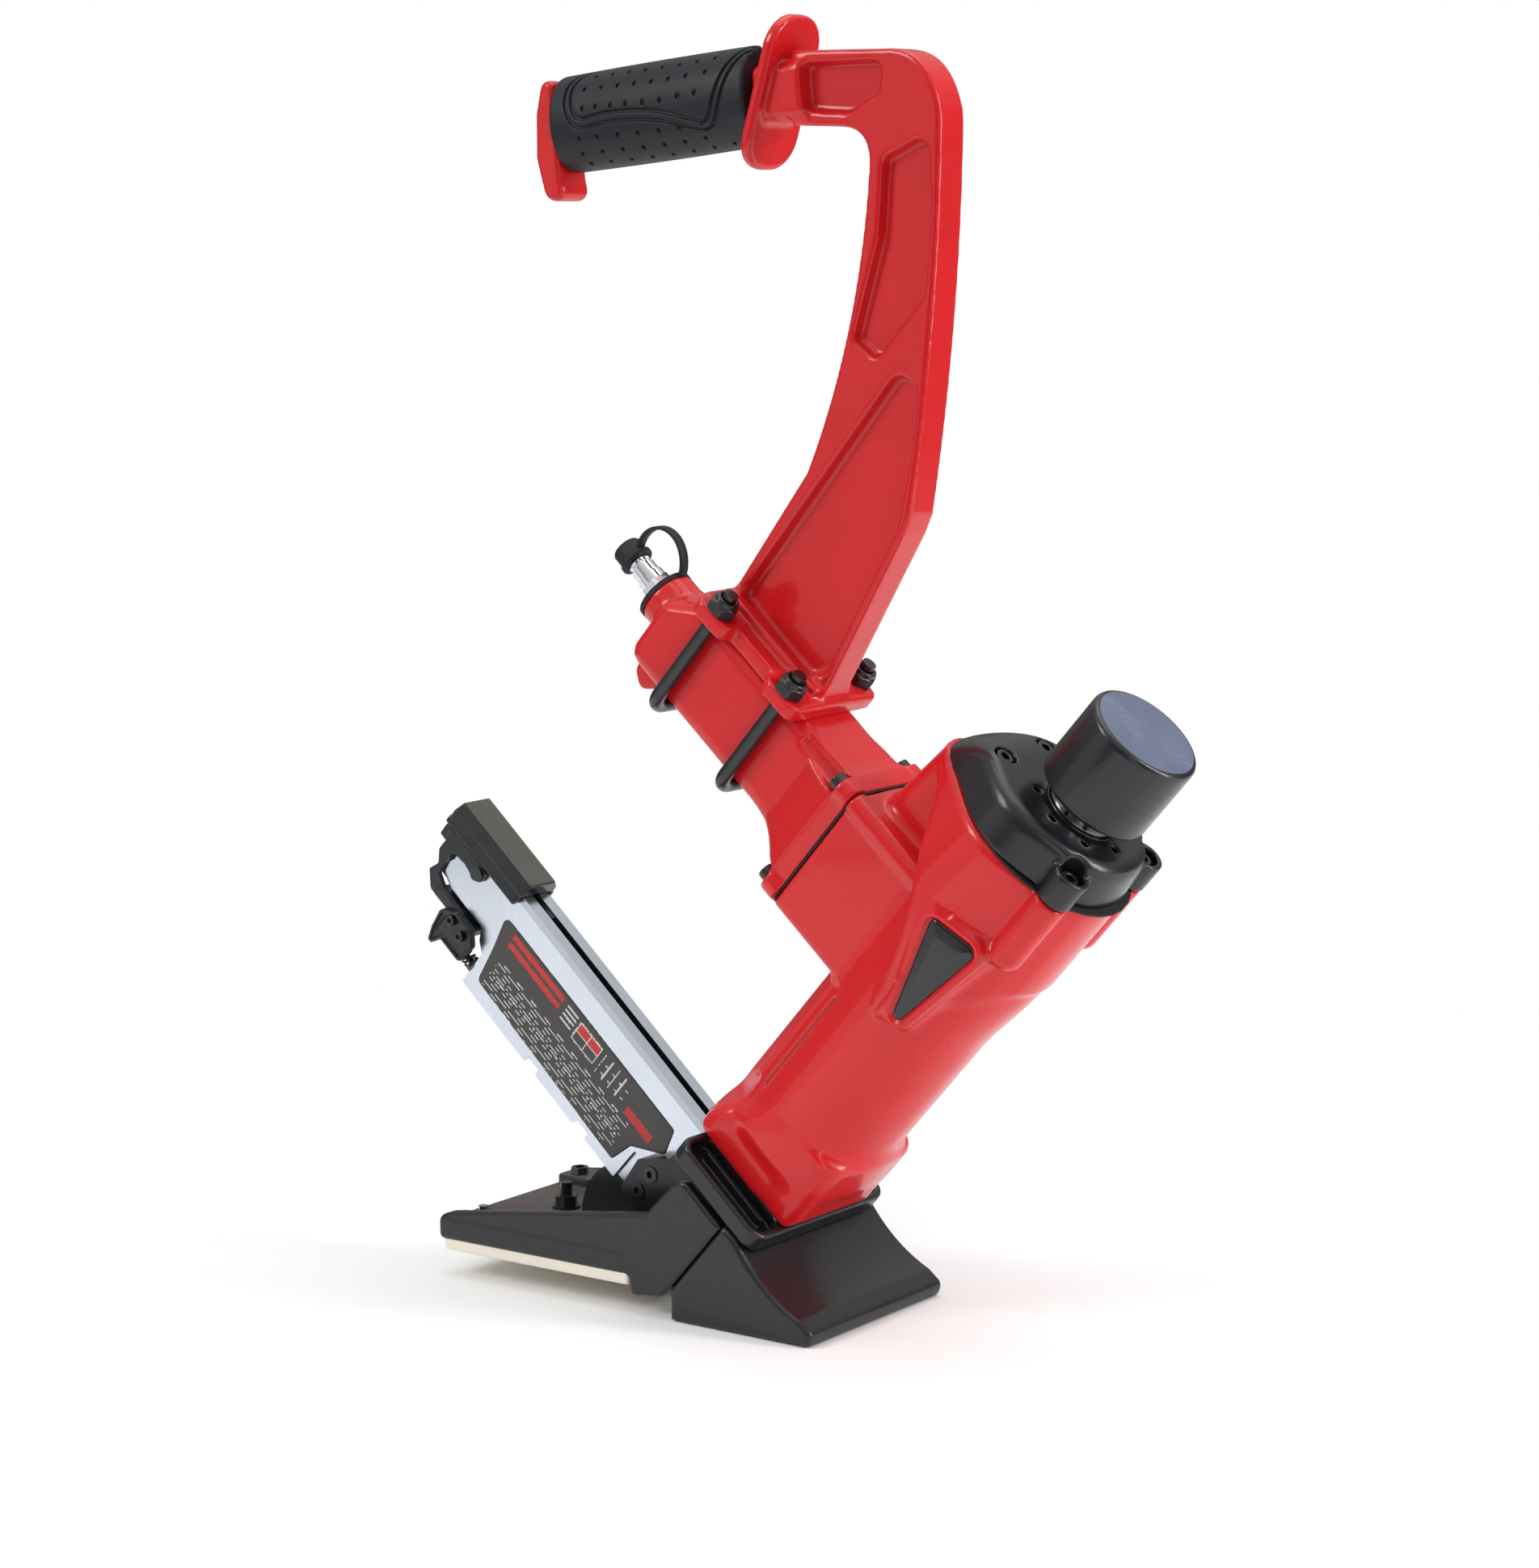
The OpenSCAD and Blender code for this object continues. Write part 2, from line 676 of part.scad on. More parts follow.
module base_plate() {
  cheek_top = world(66, 15.2);
  cheek_toe = world(66, cheek_front_t);
  seam_low = world(20.6, cheek_front_t);
  cheek = rounded([[pad_x0, pad_top_z, 2], [pad_x0, 29.5, 3], [-175, 32, 3], [-53.2, 49, 0],
    [-36, 65.8, 4], [cheek_top.x, cheek_top.y, 4], [cheek_toe.x, cheek_toe.y, 0],
    [seam_low.x, seam_low.y, 0], [-46, 10, 2], [-63.6, 8.1, 2], [pad_x1 + 0.1, pad_top_z, 0]]);
  notch_x = -84;
  color(black) difference() {
    union() {
      for (y = [-shoe_half, shoe_half - cheek_t])
        side(y, y + cheek_t) polygon(cheek);
      block([pad_x0, -shoe_half, pad_top_z], [-69, shoe_half, plate_top_z]);
      block([pad_x0 + 4, 30, plate_top_z - 1], [pad_x0 + 26, shoe_half - 3, plate_top_z + 6]);
    }
    block([notch_x, -nose_half - 1, pad_top_z - 1], [0, nose_half + 1, plate_top_z + 1]);
    for (x = [pad_x0 + 14, pad_x0 + 84], y = [-36, 36])
      translate([x, y, pad_top_z - 1]) cylinder(h = 20, r = 2.5 + fit);
    translate([-146, 0, pad_top_z - 1]) cylinder(h = 20, r = 3 + fit);
  }
}

module base_pad() {
  color(cream) difference() {
    translate([0, 0, pad_z]) linear_extrude(pad_t) polygon(rounded([
      [pad_x0, -shoe_half, 4], [pad_x1, -shoe_half, 2], [pad_x1, -nose_half - 1, 2], [-84, -nose_half - 1, 2],
      [-84, nose_half + 1, 2], [pad_x1, nose_half + 1, 2], [pad_x1, shoe_half, 2], [pad_x0, shoe_half, 4]]));
    for (x = [pad_x0 + 14, pad_x0 + 84], y = [-36, 36]) {
      translate([x, y, pad_z - 1]) cylinder(h = 20, r = 2.5 + fit);
      translate([x, y, pad_z - 1]) cylinder(h = 4, r = 5);
    }
  }
}

module pad_screws() {
  color(steel) for (x = [pad_x0 + 14, pad_x0 + 84], y = [-36, 36])
    translate([x, y, 0]) {
      translate([0, 0, pad_z + 0.6]) cylinder(h = 2.4, r = 4.8);
      translate([0, 0, pad_z + 3 - eps]) cylinder(h = 17, r = 2.5);
    }
}

module pad_nuts() {
  color(black) for (x = [pad_x0 + 14, pad_x0 + 84], y = [-36, 36])
    translate([x, y, plate_top_z + (y > 0 && x < -150 ? 6 : 0)]) nut(8, 3.5, 5 + 2 * fit);
}

module plate_stud() {
  color(black) translate([-146, 0, 0]) {
    translate([0, 0, pad_top_z]) cylinder(h = 21, r = 3);
    translate([0, 0, plate_top_z]) cylinder(h = 1.2, r = 7);
    translate([0, 0, plate_top_z + 1.1]) cylinder(h = 5, d = 11.5, $fn = 6);
  }
}

module foot_gusset() {
  low = world(1.5, 30);
  high = world(1.5, 67);
  color(black) side(-3, 3) polygon(concat(
    [[low.x, plate_top_z], [-134, plate_top_z]],
    curve([-133.5, 31], [-129, 50], high, 6),
    [low]
  ));
}

// ---------------------------------------------------------------- magazine

// Side outline of the cover, cut away at its lower rear corner and at its front
cover_outline = rounded([
  [mag_s0, 60, 1], [21.5, 59.5, 1], [33, 41, 2], [46, mag_t0, 0], [mag_s1, mag_t0, 0],
  [mag_s1, 236, 0], [50, 236, 0], [50, 229, 2],
  [45, 229, 1], [42, 230.5, 1], [35, 229.5, 3], [32.2, 222, 3], [32.2, 195.5, 2], [26, 192, 2],
  [22, rod_t0, 1], [mag_s0, rod_t0, 1],
  [mag_s0, 134, 0], [6, 134, 0], [6, 125, 0], [mag_s0, 125, 0],
  [mag_s0, 94, 0], [6, 92, 0], [6, 84, 0], [mag_s0, 84, 0]
], 3);

module magazine_cover() {
  color(chrome) on_driver() difference() {
    side(-mag_w / 2, mag_w / 2) polygon(cover_outline);
    block([mag_s0 - 2, -mag_w / 2 + mag_wall, mag_t0 - 1], [mag_s1 - mag_wall, mag_w / 2 - mag_wall, 240]);
    block([mag_s1 - 4, -2.2, mag_t0 + 6], [mag_s1 + 1, 2.2, 240]);
    for (side_y = [-1, 1])
      translate([mag_s1, side_y * mag_w / 2, mag_t0 - 1]) rotate([0, 0, 45]) translate([-1.5, -1.5, 0])
        cube([3, 3, 300]);
    bar_y(-20, 20, 2.4, latch_pin_s, latch_pin_t);
  }
}

module magazine_channel() {
  half = mag_w / 2 - mag_wall - 0.1;
  color(steel) on_driver() difference() {
    block([4, -half, 12.4], [mag_s1 - mag_wall - 0.1, half, 236]);
    block([6, -6.6, 12], [mag_s1 + 1, 6.6, 240]);
    block([0, -20, 185], [32.5, 20, 240]);
    bar_y(-20, 20, 2.4, latch_pin_s, latch_pin_t);
  }
}

module label_panel() {
  color("#3a3836") on_driver() side(-mag_w / 2 - 0.5, -mag_w / 2) polygon(rounded([
    [48.5, 188, 3], [30, 183.5, 3], [10, 180, 3], [8, 66, 2], [22, 62.5, 2], [35, 46, 2], [48.5, 50, 2]]));
}

module magazine_clamps() {
  color(black) on_driver() for (side_y = [-1, 1])
    difference() {
      side(side_y > 0 ? 11.2 : -20, side_y > 0 ? 20 : -11.2)
        polygon(rounded([[8, 12.2, 0], [8, 50, 3], [28, 52, 3], [42, 40, 3], [60, 36, 3], [60, 12.2, 0]]));
      for (place = [[16, 42], [28, 42]])
        bar_y(side_y > 0 ? 17 : -21, side_y > 0 ? 21 : -17, 4.2, place.x, place.y);
    }
}

module clamp_screws() {
  color(black) on_driver() for (side_y = [-1, 1], place = [[16, 42], [28, 42]])
    difference() {
      bar_y(side_y > 0 ? 17 : -20.6, side_y > 0 ? 20.6 : -17, 4, place.x, place.y);
      translate([place.x, side_y * 22, place.y]) rotate([90, 0, 0])
        cylinder(h = 6, d = 4, center = true, $fn = 6);
    }
}

// ---------------------------------------------------------------- pusher and latch

module pusher_cover() {
  color(black) on_driver() translate([0, 0, pusher_t0]) linear_extrude(pusher_t1 - pusher_t0)
    difference() {
      polygon([[58, -14.6], [61, -14.6], [62.5, -13.2], [65.5, -13], [70, -8.5], [70, 8.5],
        [65.5, 13], [62.5, 13.2], [61, 14.6], [58, 14.6]]);
      translate([57, -mag_w / 2 - 0.4]) square([mag_s1 + 0.4 - 57, mag_w + 0.8]);
    }
}

module pusher_shoe() {
  color(steel) on_driver() {
    block([33.2, -6.2, pusher_t0 - 11], [mag_s1 - 6, 6.2, pusher_t0 + 22]);
    block([7.2, -6.2, pusher_t0 - 11], [33.3, 6.2, pusher_t0 - 3]);
    block([mag_s1 - 6 - eps, -1.6, pusher_t0 + 6], [mag_s1 + 0.4, 1.6, pusher_t0 + 22]);
  }
}

module pusher_spring() {
  color(steel) on_driver() difference() {
    bar_y(-5, 5, 9, 40, pusher_t0 + 32);
    bar_y(-6, 6, 5, 40, pusher_t0 + 32);
  }
}

// Side outline of the latch lever, from its pivot round the rear of the magazine
lever_outline = rounded([
  [48.2, 208.6, 3.6], [57, 208.6, 3.6], [57.5, 218, 0], [57.5, 242.5, 1], [50, 242.5, 1], [49.5, 238, 0],
  [43.5, 238.5, 4], [37.5, 234, 2], [31, 236.5, 1.5], [23.8, 229.5, 2], [24.2, 206, 0], [30.2, 206, 0],
  [30.8, 222.5, 3], [34.2, 230.5, 2], [42, 231.5, 3], [48.4, 231, 2], [49.6, 222, 0], [48.6, 216, 0]
], 3);
bracket_outline = rounded([
  [12, 190.5, 3], [24, 190.5, 2], [29.6, 196, 3], [29.6, 208, 2], [24, 216.5, 3], [13, 215, 3],
  [6, 212.5, 1], [6, 210, 0], [12, 207, 2]
], 3);
ear_t = 210;
ear_h = 2.4;

module latch_bracket() {
  color(black) on_driver() difference() {
    union() {
      side(-16, -13.6) polygon(bracket_outline);
      block([6, -16, ear_t], [23.8, -4, ear_t + ear_h]);
    }
    bar_t(ear_t - 1, ear_t + ear_h + 1, 2.2, spring_s, spring_y);
  }
}

module bracket_screws() {
  color(black) on_driver() for (place = [[24.5, 208], [22.5, 199]])
    difference() {
      bar_y(-18.4, -16, 2.9, place.x, place.y);
      translate([place.x, -18.4, place.y]) rotate([90, 0, 0]) cylinder(h = 3, d = 3, center = true, $fn = 6);
    }
}

module latch_lever() {
  color(black) on_driver() difference() {
    union() {
      for (y = [-13.6, 11.4])
        side(y, y + 2.2) polygon(lever_outline);
      block([23.9, -13.6, 196], [29.6, 13.6, 226]);
      block([50, -13.6, 238.8], [57.5, 13.6, 242.4]);
    }
    bar_y(-20, 20, 2.4 + fit, latch_pin_s, latch_pin_t);
  }
}

module latch_pins() {
  color(black) on_driver() {
    for (side_y = [-1, 1]) {
      bar_y(side_y > 0 ? 8 : -13.7, side_y > 0 ? 13.7 : -8, 2.4, latch_pin_s, latch_pin_t);
      bar_y(side_y > 0 ? 13.7 - eps : -15, side_y > 0 ? 15 : -13.7 + eps, 3.6, latch_pin_s, latch_pin_t);
    }
    bar_t(rod_t0, ear_t + 8, 1.5, spring_s, spring_y);
    bar_t(rod_t0, rod_t0 + 2.2, 3.9, spring_s, spring_y);
  }
}

module latch_spring() {
  color(black) on_driver() difference() {
    bar_t(rod_t0 + 2.2, ear_t, 3.8, spring_s, spring_y);
    bar_t(rod_t0, ear_t + 1, 2.6, spring_s, spring_y);
  }
}

body_casting();
cylinder_sleeve();
bumper();
head_gasket();
head_cap();
head_screws();
ram_seal();
ram_shaft();
ram_cap();
head_valve();
valve_spring();
piston();
piston_ring();
driver_blade();
badge();
arm_gasket();
arm_casting();
arm_screws();
air_plug();
plug_seal();
dust_cap();
cap_strap();
handle_casting();
grip_sleeve();
u_bolts();
u_bolt_nuts();
nose_casting();
nose_screws();
front_wedge();
wedge_screws();
base_plate();
base_pad();
pad_screws();
pad_nuts();
plate_stud();
foot_gusset();
magazine_channel();
magazine_cover();
label_panel();
magazine_clamps();
clamp_screws();
pusher_cover();
pusher_shoe();
pusher_spring();
latch_bracket();
bracket_screws();
latch_lever();
latch_pins();
latch_spring();
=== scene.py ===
"""Looks of the flooring nailer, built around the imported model.

Lengths are in millimetres until a mesh is made, and in metres from there on. Shapes are drawn
either in world X, Y, Z or in the driver frame S, Y, T: S runs up the driver axis from the nail
exit, T is square to it, towards the magazine and the air arm.
"""
import json
import math

import bmesh
import bpy
import numpy as np
import openvdb
from mathutils import Matrix, Vector


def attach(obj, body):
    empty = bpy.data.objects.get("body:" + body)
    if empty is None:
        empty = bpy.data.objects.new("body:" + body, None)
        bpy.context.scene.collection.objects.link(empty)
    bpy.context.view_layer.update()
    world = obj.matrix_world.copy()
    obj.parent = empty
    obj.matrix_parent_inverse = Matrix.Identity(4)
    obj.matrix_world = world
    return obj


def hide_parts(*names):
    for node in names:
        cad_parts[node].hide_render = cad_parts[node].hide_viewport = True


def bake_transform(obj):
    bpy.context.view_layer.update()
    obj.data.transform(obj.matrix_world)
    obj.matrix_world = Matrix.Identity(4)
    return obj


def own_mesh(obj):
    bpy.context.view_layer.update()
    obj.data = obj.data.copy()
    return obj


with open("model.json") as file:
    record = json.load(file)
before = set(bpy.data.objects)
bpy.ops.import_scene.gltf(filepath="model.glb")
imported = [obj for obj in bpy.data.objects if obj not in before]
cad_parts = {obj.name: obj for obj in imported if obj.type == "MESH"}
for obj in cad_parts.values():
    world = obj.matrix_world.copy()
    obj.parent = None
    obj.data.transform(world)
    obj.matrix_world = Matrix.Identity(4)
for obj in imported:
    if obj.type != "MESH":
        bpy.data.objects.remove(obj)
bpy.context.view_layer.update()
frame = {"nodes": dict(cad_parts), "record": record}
node_object = frame["nodes"]

ANGLE = math.radians(47.5)
COS, SIN = math.cos(ANGLE), math.sin(ANGLE)
EXIT = (-63.8, 0.0, 8.1)
MM = Matrix.Scale(0.001, 4)
WORLD = MM
DRIVER = MM @ Matrix(((COS, 0, -SIN, EXIT[0]), (0, 1, 0, EXIT[1]), (SIN, 0, COS, EXIT[2]), (0, 0, 0, 1)))


def driver_point(s, y, t):
    return DRIVER @ Vector((s, y, t))


def world_xz(s, t):
    return (EXIT[0] + s * COS - t * SIN, EXIT[2] + s * SIN + t * COS)


# ------------------------------------------------------------------ shader nodes

def srgb(r, g, b):
    def linear(u):
        u /= 255
        return u / 12.92 if u <= 0.04045 else ((u + 0.055) / 1.055) ** 2.4
    return (linear(r), linear(g), linear(b), 1.0)


def scaled(colour, k):
    return tuple(min(1.0, c * k) for c in colour[:3]) + (1.0,)


def add_noise(nodes, links, coords, scale, detail=3.0, rough=0.55, stretch=None):
    tex = nodes.new("ShaderNodeTexNoise")
    tex.inputs["Scale"].default_value = scale
    tex.inputs["Detail"].default_value = detail
    tex.inputs["Roughness"].default_value = rough
    if stretch:
        mapping = nodes.new("ShaderNodeMapping")
        mapping.inputs["Rotation"].default_value = stretch[0]
        mapping.inputs["Scale"].default_value = stretch[1]
        links.new(coords, mapping.inputs["Vector"])
        coords = mapping.outputs["Vector"]
    links.new(coords, tex.inputs["Vector"])
    return tex.outputs["Fac"]


def material(name, colour, roughness, metallic=0.0, coat=0.0, coat_roughness=0.08, specular=0.5,
             blotch=(35.0, 0.12), worn=None, grain=((900.0, 0.00004),), rough_spread=0.12,
             stretch=None, sheen=0.0):
    """A painted, plated or moulded surface: colour drift, uneven gloss and fine relief."""
    mat = bpy.data.materials.new(name)
    mat.use_nodes = True
    nodes, links = mat.node_tree.nodes, mat.node_tree.links
    shader = nodes["Principled BSDF"]
    shader.inputs["Metallic"].default_value = metallic
    shader.inputs["Coat Weight"].default_value = coat
    shader.inputs["Coat Roughness"].default_value = coat_roughness
    shader.inputs["Specular IOR Level"].default_value = specular
    shader.inputs["Sheen Weight"].default_value = sheen
    coords = nodes.new("ShaderNodeTexCoord").outputs["Object"]
    drift = add_noise(nodes, links, coords, blotch[0], 4.0, 0.6)
    ramp = nodes.new("ShaderNodeValToRGB")
    ramp.color_ramp.elements[0].position = 0.3
    ramp.color_ramp.elements[1].position = 0.72
    ramp.color_ramp.elements[0].color = scaled(colour, 1 - blotch[1])
    ramp.color_ramp.elements[1].color = scaled(colour, 1 + blotch[1])
    links.new(drift, ramp.inputs["Fac"])
    tint = ramp.outputs["Color"]
    if worn:
        spots = add_noise(nodes, links, coords, worn[1], 6.0, 0.72, stretch)
        mask = nodes.new("ShaderNodeValToRGB")
        mask.color_ramp.elements[0].position = worn[2]
        mask.color_ramp.elements[1].position = worn[2] + worn[3]
        links.new(spots, mask.inputs["Fac"])
        mix = nodes.new("ShaderNodeMix")
        mix.data_type = "RGBA"
        links.new(mask.outputs["Color"], mix.inputs["Factor"])
        links.new(tint, mix.inputs["A"])
        mix.inputs["B"].default_value = worn[0]
        tint = mix.outputs["Result"]
    links.new(tint, shader.inputs["Base Color"])
    gloss = add_noise(nodes, links, coords, blotch[0] * 3.7, 5.0, 0.65, stretch)
    spread = nodes.new("ShaderNodeMapRange")
    spread.inputs["To Min"].default_value = max(0.02, roughness * (1 - rough_spread))
    spread.inputs["To Max"].default_value = roughness * (1 + rough_spread)
    spread.inputs["From Min"].default_value = 0.3
    spread.inputs["From Max"].default_value = 0.7
    links.new(gloss, spread.inputs["Value"])
    links.new(spread.outputs["Result"], shader.inputs["Roughness"])
    normal = None
    for scale, depth in grain:
        relief = add_noise(nodes, links, coords, scale, 2.0, 0.5, stretch)
        bump = nodes.new("ShaderNodeBump")
        bump.inputs["Strength"].default_value = 1.0
        bump.inputs["Distance"].default_value = depth
        links.new(relief, bump.inputs["Height"])
        if normal:
            links.new(normal, bump.inputs["Normal"])
        normal = bump.outputs["Normal"]
    if normal:
        links.new(normal, shader.inputs["Normal"])
    return mat


ALONG_T = ((0.0, -(math.pi / 2 - ANGLE), 0.0), (40.0, 40.0, 1.0))

RED = srgb(205, 24, 30)
MATS = {
    "casting_red": material("casting_red", RED, 0.3, coat=0.4, coat_roughness=0.05, specular=0.25,
                            blotch=(18.0, 0.05), grain=((260.0, 0.00004), (1500.0, 0.00001))),
    "black_steel": material("black_steel", srgb(21, 23, 27), 0.31, coat=0.25, coat_roughness=0.10, specular=0.4,
                            blotch=(30.0, 0.14), grain=((1400.0, 0.00005),)),
    "black_cast": material("black_cast", srgb(19, 21, 25), 0.33, coat=0.25, coat_roughness=0.14, specular=0.4,
                           blotch=(26.0, 0.16), grain=((1100.0, 0.00007), (240.0, 0.00005))),
    "black_screw": material("black_screw", srgb(17, 18, 20), 0.30, coat=0.3, specular=0.5,
                            blotch=(120.0, 0.25), grain=((2200.0, 0.00003),)),
    "chrome": material("chrome", srgb(222, 224, 228), 0.12, metallic=1.0, blotch=(60.0, 0.04),
                       grain=((3000.0, 0.000004),), rough_spread=0.4),
    "steel": material("steel", srgb(206, 212, 222), 0.2, metallic=1.0, blotch=(14.0, 0.06),
                      grain=((600.0, 0.000012),), rough_spread=0.35, stretch=ALONG_T),
    "rubber": material("rubber", srgb(28, 30, 33), 0.6, specular=0.35, blotch=(40.0, 0.15),
                       grain=((1800.0, 0.00005),)),
    "grip_rubber": material("grip_rubber", srgb(27, 31, 36), 0.46, specular=0.3, blotch=(30.0, 0.12),
                            grain=((2400.0, 0.00006), (420.0, 0.00004))),
    "cream_pad": material("cream_pad", srgb(236, 228, 212), 0.38, specular=0.5, blotch=(22.0, 0.04),
                          grain=((700.0, 0.00002),)),
    "gasket": material("gasket", srgb(32, 33, 36), 0.7, specular=0.3, blotch=(90.0, 0.2)),
    "label": material("label", srgb(58, 56, 55), 0.34, specular=0.5, blotch=(25.0, 0.08),
                      grain=((500.0, 0.000006),)),
    "badge": material("badge", srgb(12, 13, 16), 0.2, coat=0.5, coat_roughness=0.03, specular=0.4, blotch=(50.0, 0.2),
                      grain=((300.0, 0.000006),)),
    "cap_face": material("cap_face", srgb(92, 101, 124), 0.36, specular=0.5, blotch=(45.0, 0.14),
                         worn=(srgb(108, 117, 140), 70.0, 0.56, 0.1),
                         grain=((500.0, 0.00005), (90.0, 0.00008))),
    "plate_top": material("plate_top", srgb(74, 66, 62), 0.40, specular=0.5, blotch=(20.0, 0.16),
                          grain=((800.0, 0.00003),)),
    # paler copy of the pusher hood's finish, given only to its faces turned up to the light: a painted highlight
    "cover_olive": material("cover_olive", srgb(70, 68, 61), 0.36, coat=0.15, specular=0.5,
                            blotch=(26.0, 0.12), grain=((1600.0, 0.00003),)),
    "label_red": material("label_red", srgb(190, 36, 34), 0.34, blotch=(40.0, 0.06)),
    "label_light": material("label_light", srgb(205, 205, 202), 0.36, blotch=(40.0, 0.04)),
    "hole": material("hole", srgb(9, 9, 10), 0.8, specular=0.1),
}


# ------------------------------------------------------------------ distance fields

def unit(v):
    return v / np.linalg.norm(v)


def rounded(points, steps=6):
    """Corner points, each with a radius, as an outline with arcs at its corners."""
    out = []
    for i, (x, y, r) in enumerate(points):
        if r == 0:
            out.append((x, y))
            continue
        a = np.array(points[i - 1][:2], float)
        b = np.array((x, y), float)
        c = np.array(points[(i + 1) % len(points)][:2], float)
        u, w = unit(a - b), unit(c - b)
        half = math.acos(max(-1, min(1, float(u @ w)))) / 2
        centre = b + unit(u + w) * r / math.sin(half)
        p = b + u * r / math.tan(half) - centre
        q = b + w * r / math.tan(half) - centre
        start = math.atan2(p[1], p[0])
        turn = (math.atan2(q[1], q[0]) - start + 5 * math.pi) % (2 * math.pi) - math.pi
        for k in range(steps + 1):
            g = start + turn * k / steps
            out.append((centre[0] + r * math.cos(g), centre[1] + r * math.sin(g)))
    return out


def curve(a, b, c, steps=10):
    """Points from a to c on a curve that leans towards b."""
    out = []
    for i in range(steps + 1):
        k = i / steps
        out.append(tuple((1 - k) ** 2 * a[j] + 2 * k * (1 - k) * b[j] + k * k * c[j] for j in (0, 1)))
    return out


def smin(a, b, k):
    h = np.maximum(k - np.abs(a - b), 0) / k
    return np.minimum(a, b) - h * h * k * 0.25


def smax(a, b, k):
    return -smin(-a, -b, k)


def join(k, *parts):
    out = parts[0]
    for p in parts[1:]:
        out = smin(out, p, k)
    return out


def extrude(flat, across, half, r=0.0):
    """A flat distance field given a thickness of twice half, with its rims rounded to r."""
    flat = flat + r
    w = np.abs(across) - (half - r)
    return np.minimum(np.maximum(flat, w), 0) + np.hypot(np.maximum(flat, 0), np.maximum(w, 0)) - r


def rectangle(x, y, hx, hy, r=0.0):
    dx, dy = np.abs(x) - (hx - r), np.abs(y) - (hy - r)
    return np.minimum(np.maximum(dx, dy), 0) + np.hypot(np.maximum(dx, 0), np.maximum(dy, 0)) - r


def outline(x, y, points):
    """Signed distance to a closed outline."""
    d, inside = None, None
    n = len(points)
    for i in range(n):
        ax, ay = points[i]
        bx, by = points[i - 1]
        ex, ey = bx - ax, by - ay
        if ex * ex + ey * ey < 1e-12:
            continue
        wx, wy = x - ax, y - ay
        h = np.clip((wx * ex + wy * ey) / (ex * ex + ey * ey), 0, 1)
        gap = (wx - ex * h) ** 2 + (wy - ey * h) ** 2
        d = gap if d is None else np.minimum(d, gap)
        c1, c2, c3 = (wy >= 0), (y < by), (ex * wy > ey * wx)
        flip = (c1 & c2 & c3) | (~c1 & ~c2 & ~c3)
        inside = flip if inside is None else inside ^ flip
    return np.where(inside, -1.0, 1.0) * np.sqrt(d)


class Field:
    """A block of space in which a shape's distance field is worked out."""

    def __init__(self, low, high, step):
        self.low, self.step = low, step
        axes = [np.arange(int(math.ceil((high[i] - low[i]) / step)) + 1, dtype=np.float32) * step + low[i]
                for i in range(3)]
        self.shape = tuple(len(a) for a in axes)
        self.a = axes[0][:, None, None]
        self.b = axes[1][None, :, None]
        self.c = axes[2][None, None, :]

    def mesh(self, name, d, matrix, relax=0):
        band = 3 * self.step
        d = np.ascontiguousarray(np.clip(np.broadcast_to(d, self.shape), -band, band), dtype=np.float32)
        d[0], d[-1], d[:, 0], d[:, -1], d[:, :, 0], d[:, :, -1] = [band] * 6
        grid = openvdb.FloatGrid(band)
        grid.copyFromArray(d)
        points, tris, quads = grid.convertToPolygons(isovalue=0.0, adaptivity=0.0)
        points = np.asarray(points, dtype=np.float64) * self.step + np.array(self.low)
        m = np.array(matrix)
        points = points @ m[:3, :3].T + m[:3, 3]
        mesh = bpy.data.meshes.new(name)
        faces = [tuple(q) for q in np.asarray(quads).tolist()] + [tuple(t) for t in np.asarray(tris).tolist()]
        mesh.from_pydata(points.tolist(), [], faces)
        return finish_mesh(name, mesh, relax)


def finish_mesh(name, mesh, relax=0):
    bm = bmesh.new()
    bm.from_mesh(mesh)
    for _ in range(relax):
        bmesh.ops.smooth_vert(bm, verts=bm.verts, factor=0.5, use_axis_x=True, use_axis_y=True, use_axis_z=True)
    bmesh.ops.recalc_face_normals(bm, faces=bm.faces)
    if bm.calc_volume(signed=True) < 0:
        bmesh.ops.reverse_faces(bm, faces=bm.faces)
    bm.to_mesh(mesh)
    bm.free()
    for p in mesh.polygons:
        p.use_smooth = True
    obj = bpy.data.objects.new(name, mesh)
    bpy.context.scene.collection.objects.link(obj)
    return obj


def place(obj, body, slot, nodes=(), mat=None):
    """Gives a piece its material and its body, and hides the CAD nodes that it stands for."""
    if not obj.data.materials:
        obj.data.materials.append(MATS[mat or slot])
    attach(obj, body)
    if nodes:
        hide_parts(*nodes)
    return obj


def lathe(name, profile, matrix, steps=96):
    """A closed solid of revolution about the local Z axis from (radius, height) points."""
    bm = bmesh.new()
    rings = []
    for r, z in profile:
        if r < 1e-6:
            rings.append([bm.verts.new((0, 0, z))])
            continue
        rings.append([bm.verts.new((r * math.cos(2 * math.pi * i / steps), r * math.sin(2 * math.pi * i / steps), z))
                      for i in range(steps)])
    for a, b in zip(rings, rings[1:]):
        for i in range(steps):
            j = (i + 1) % steps
            if len(a) == 1 and len(b) > 1:
                bm.faces.new((a[0], b[j], b[i]))
            elif len(b) == 1 and len(a) > 1:
                bm.faces.new((a[i], a[j], b[0]))
            elif len(a) > 1:
                bm.faces.new((a[i], a[j], b[j], b[i]))
    if len(rings[0]) > 1 and len(rings[-1]) > 1:
        a, b = rings[-1], rings[0]
        for i in range(steps):
            j = (i + 1) % steps
            bm.faces.new((a[i], a[j], b[j], b[i]))
    mesh = bpy.data.meshes.new(name)
    bm.to_mesh(mesh)
    bm.free()
    mesh.transform(matrix)
    return finish_mesh(name, mesh)


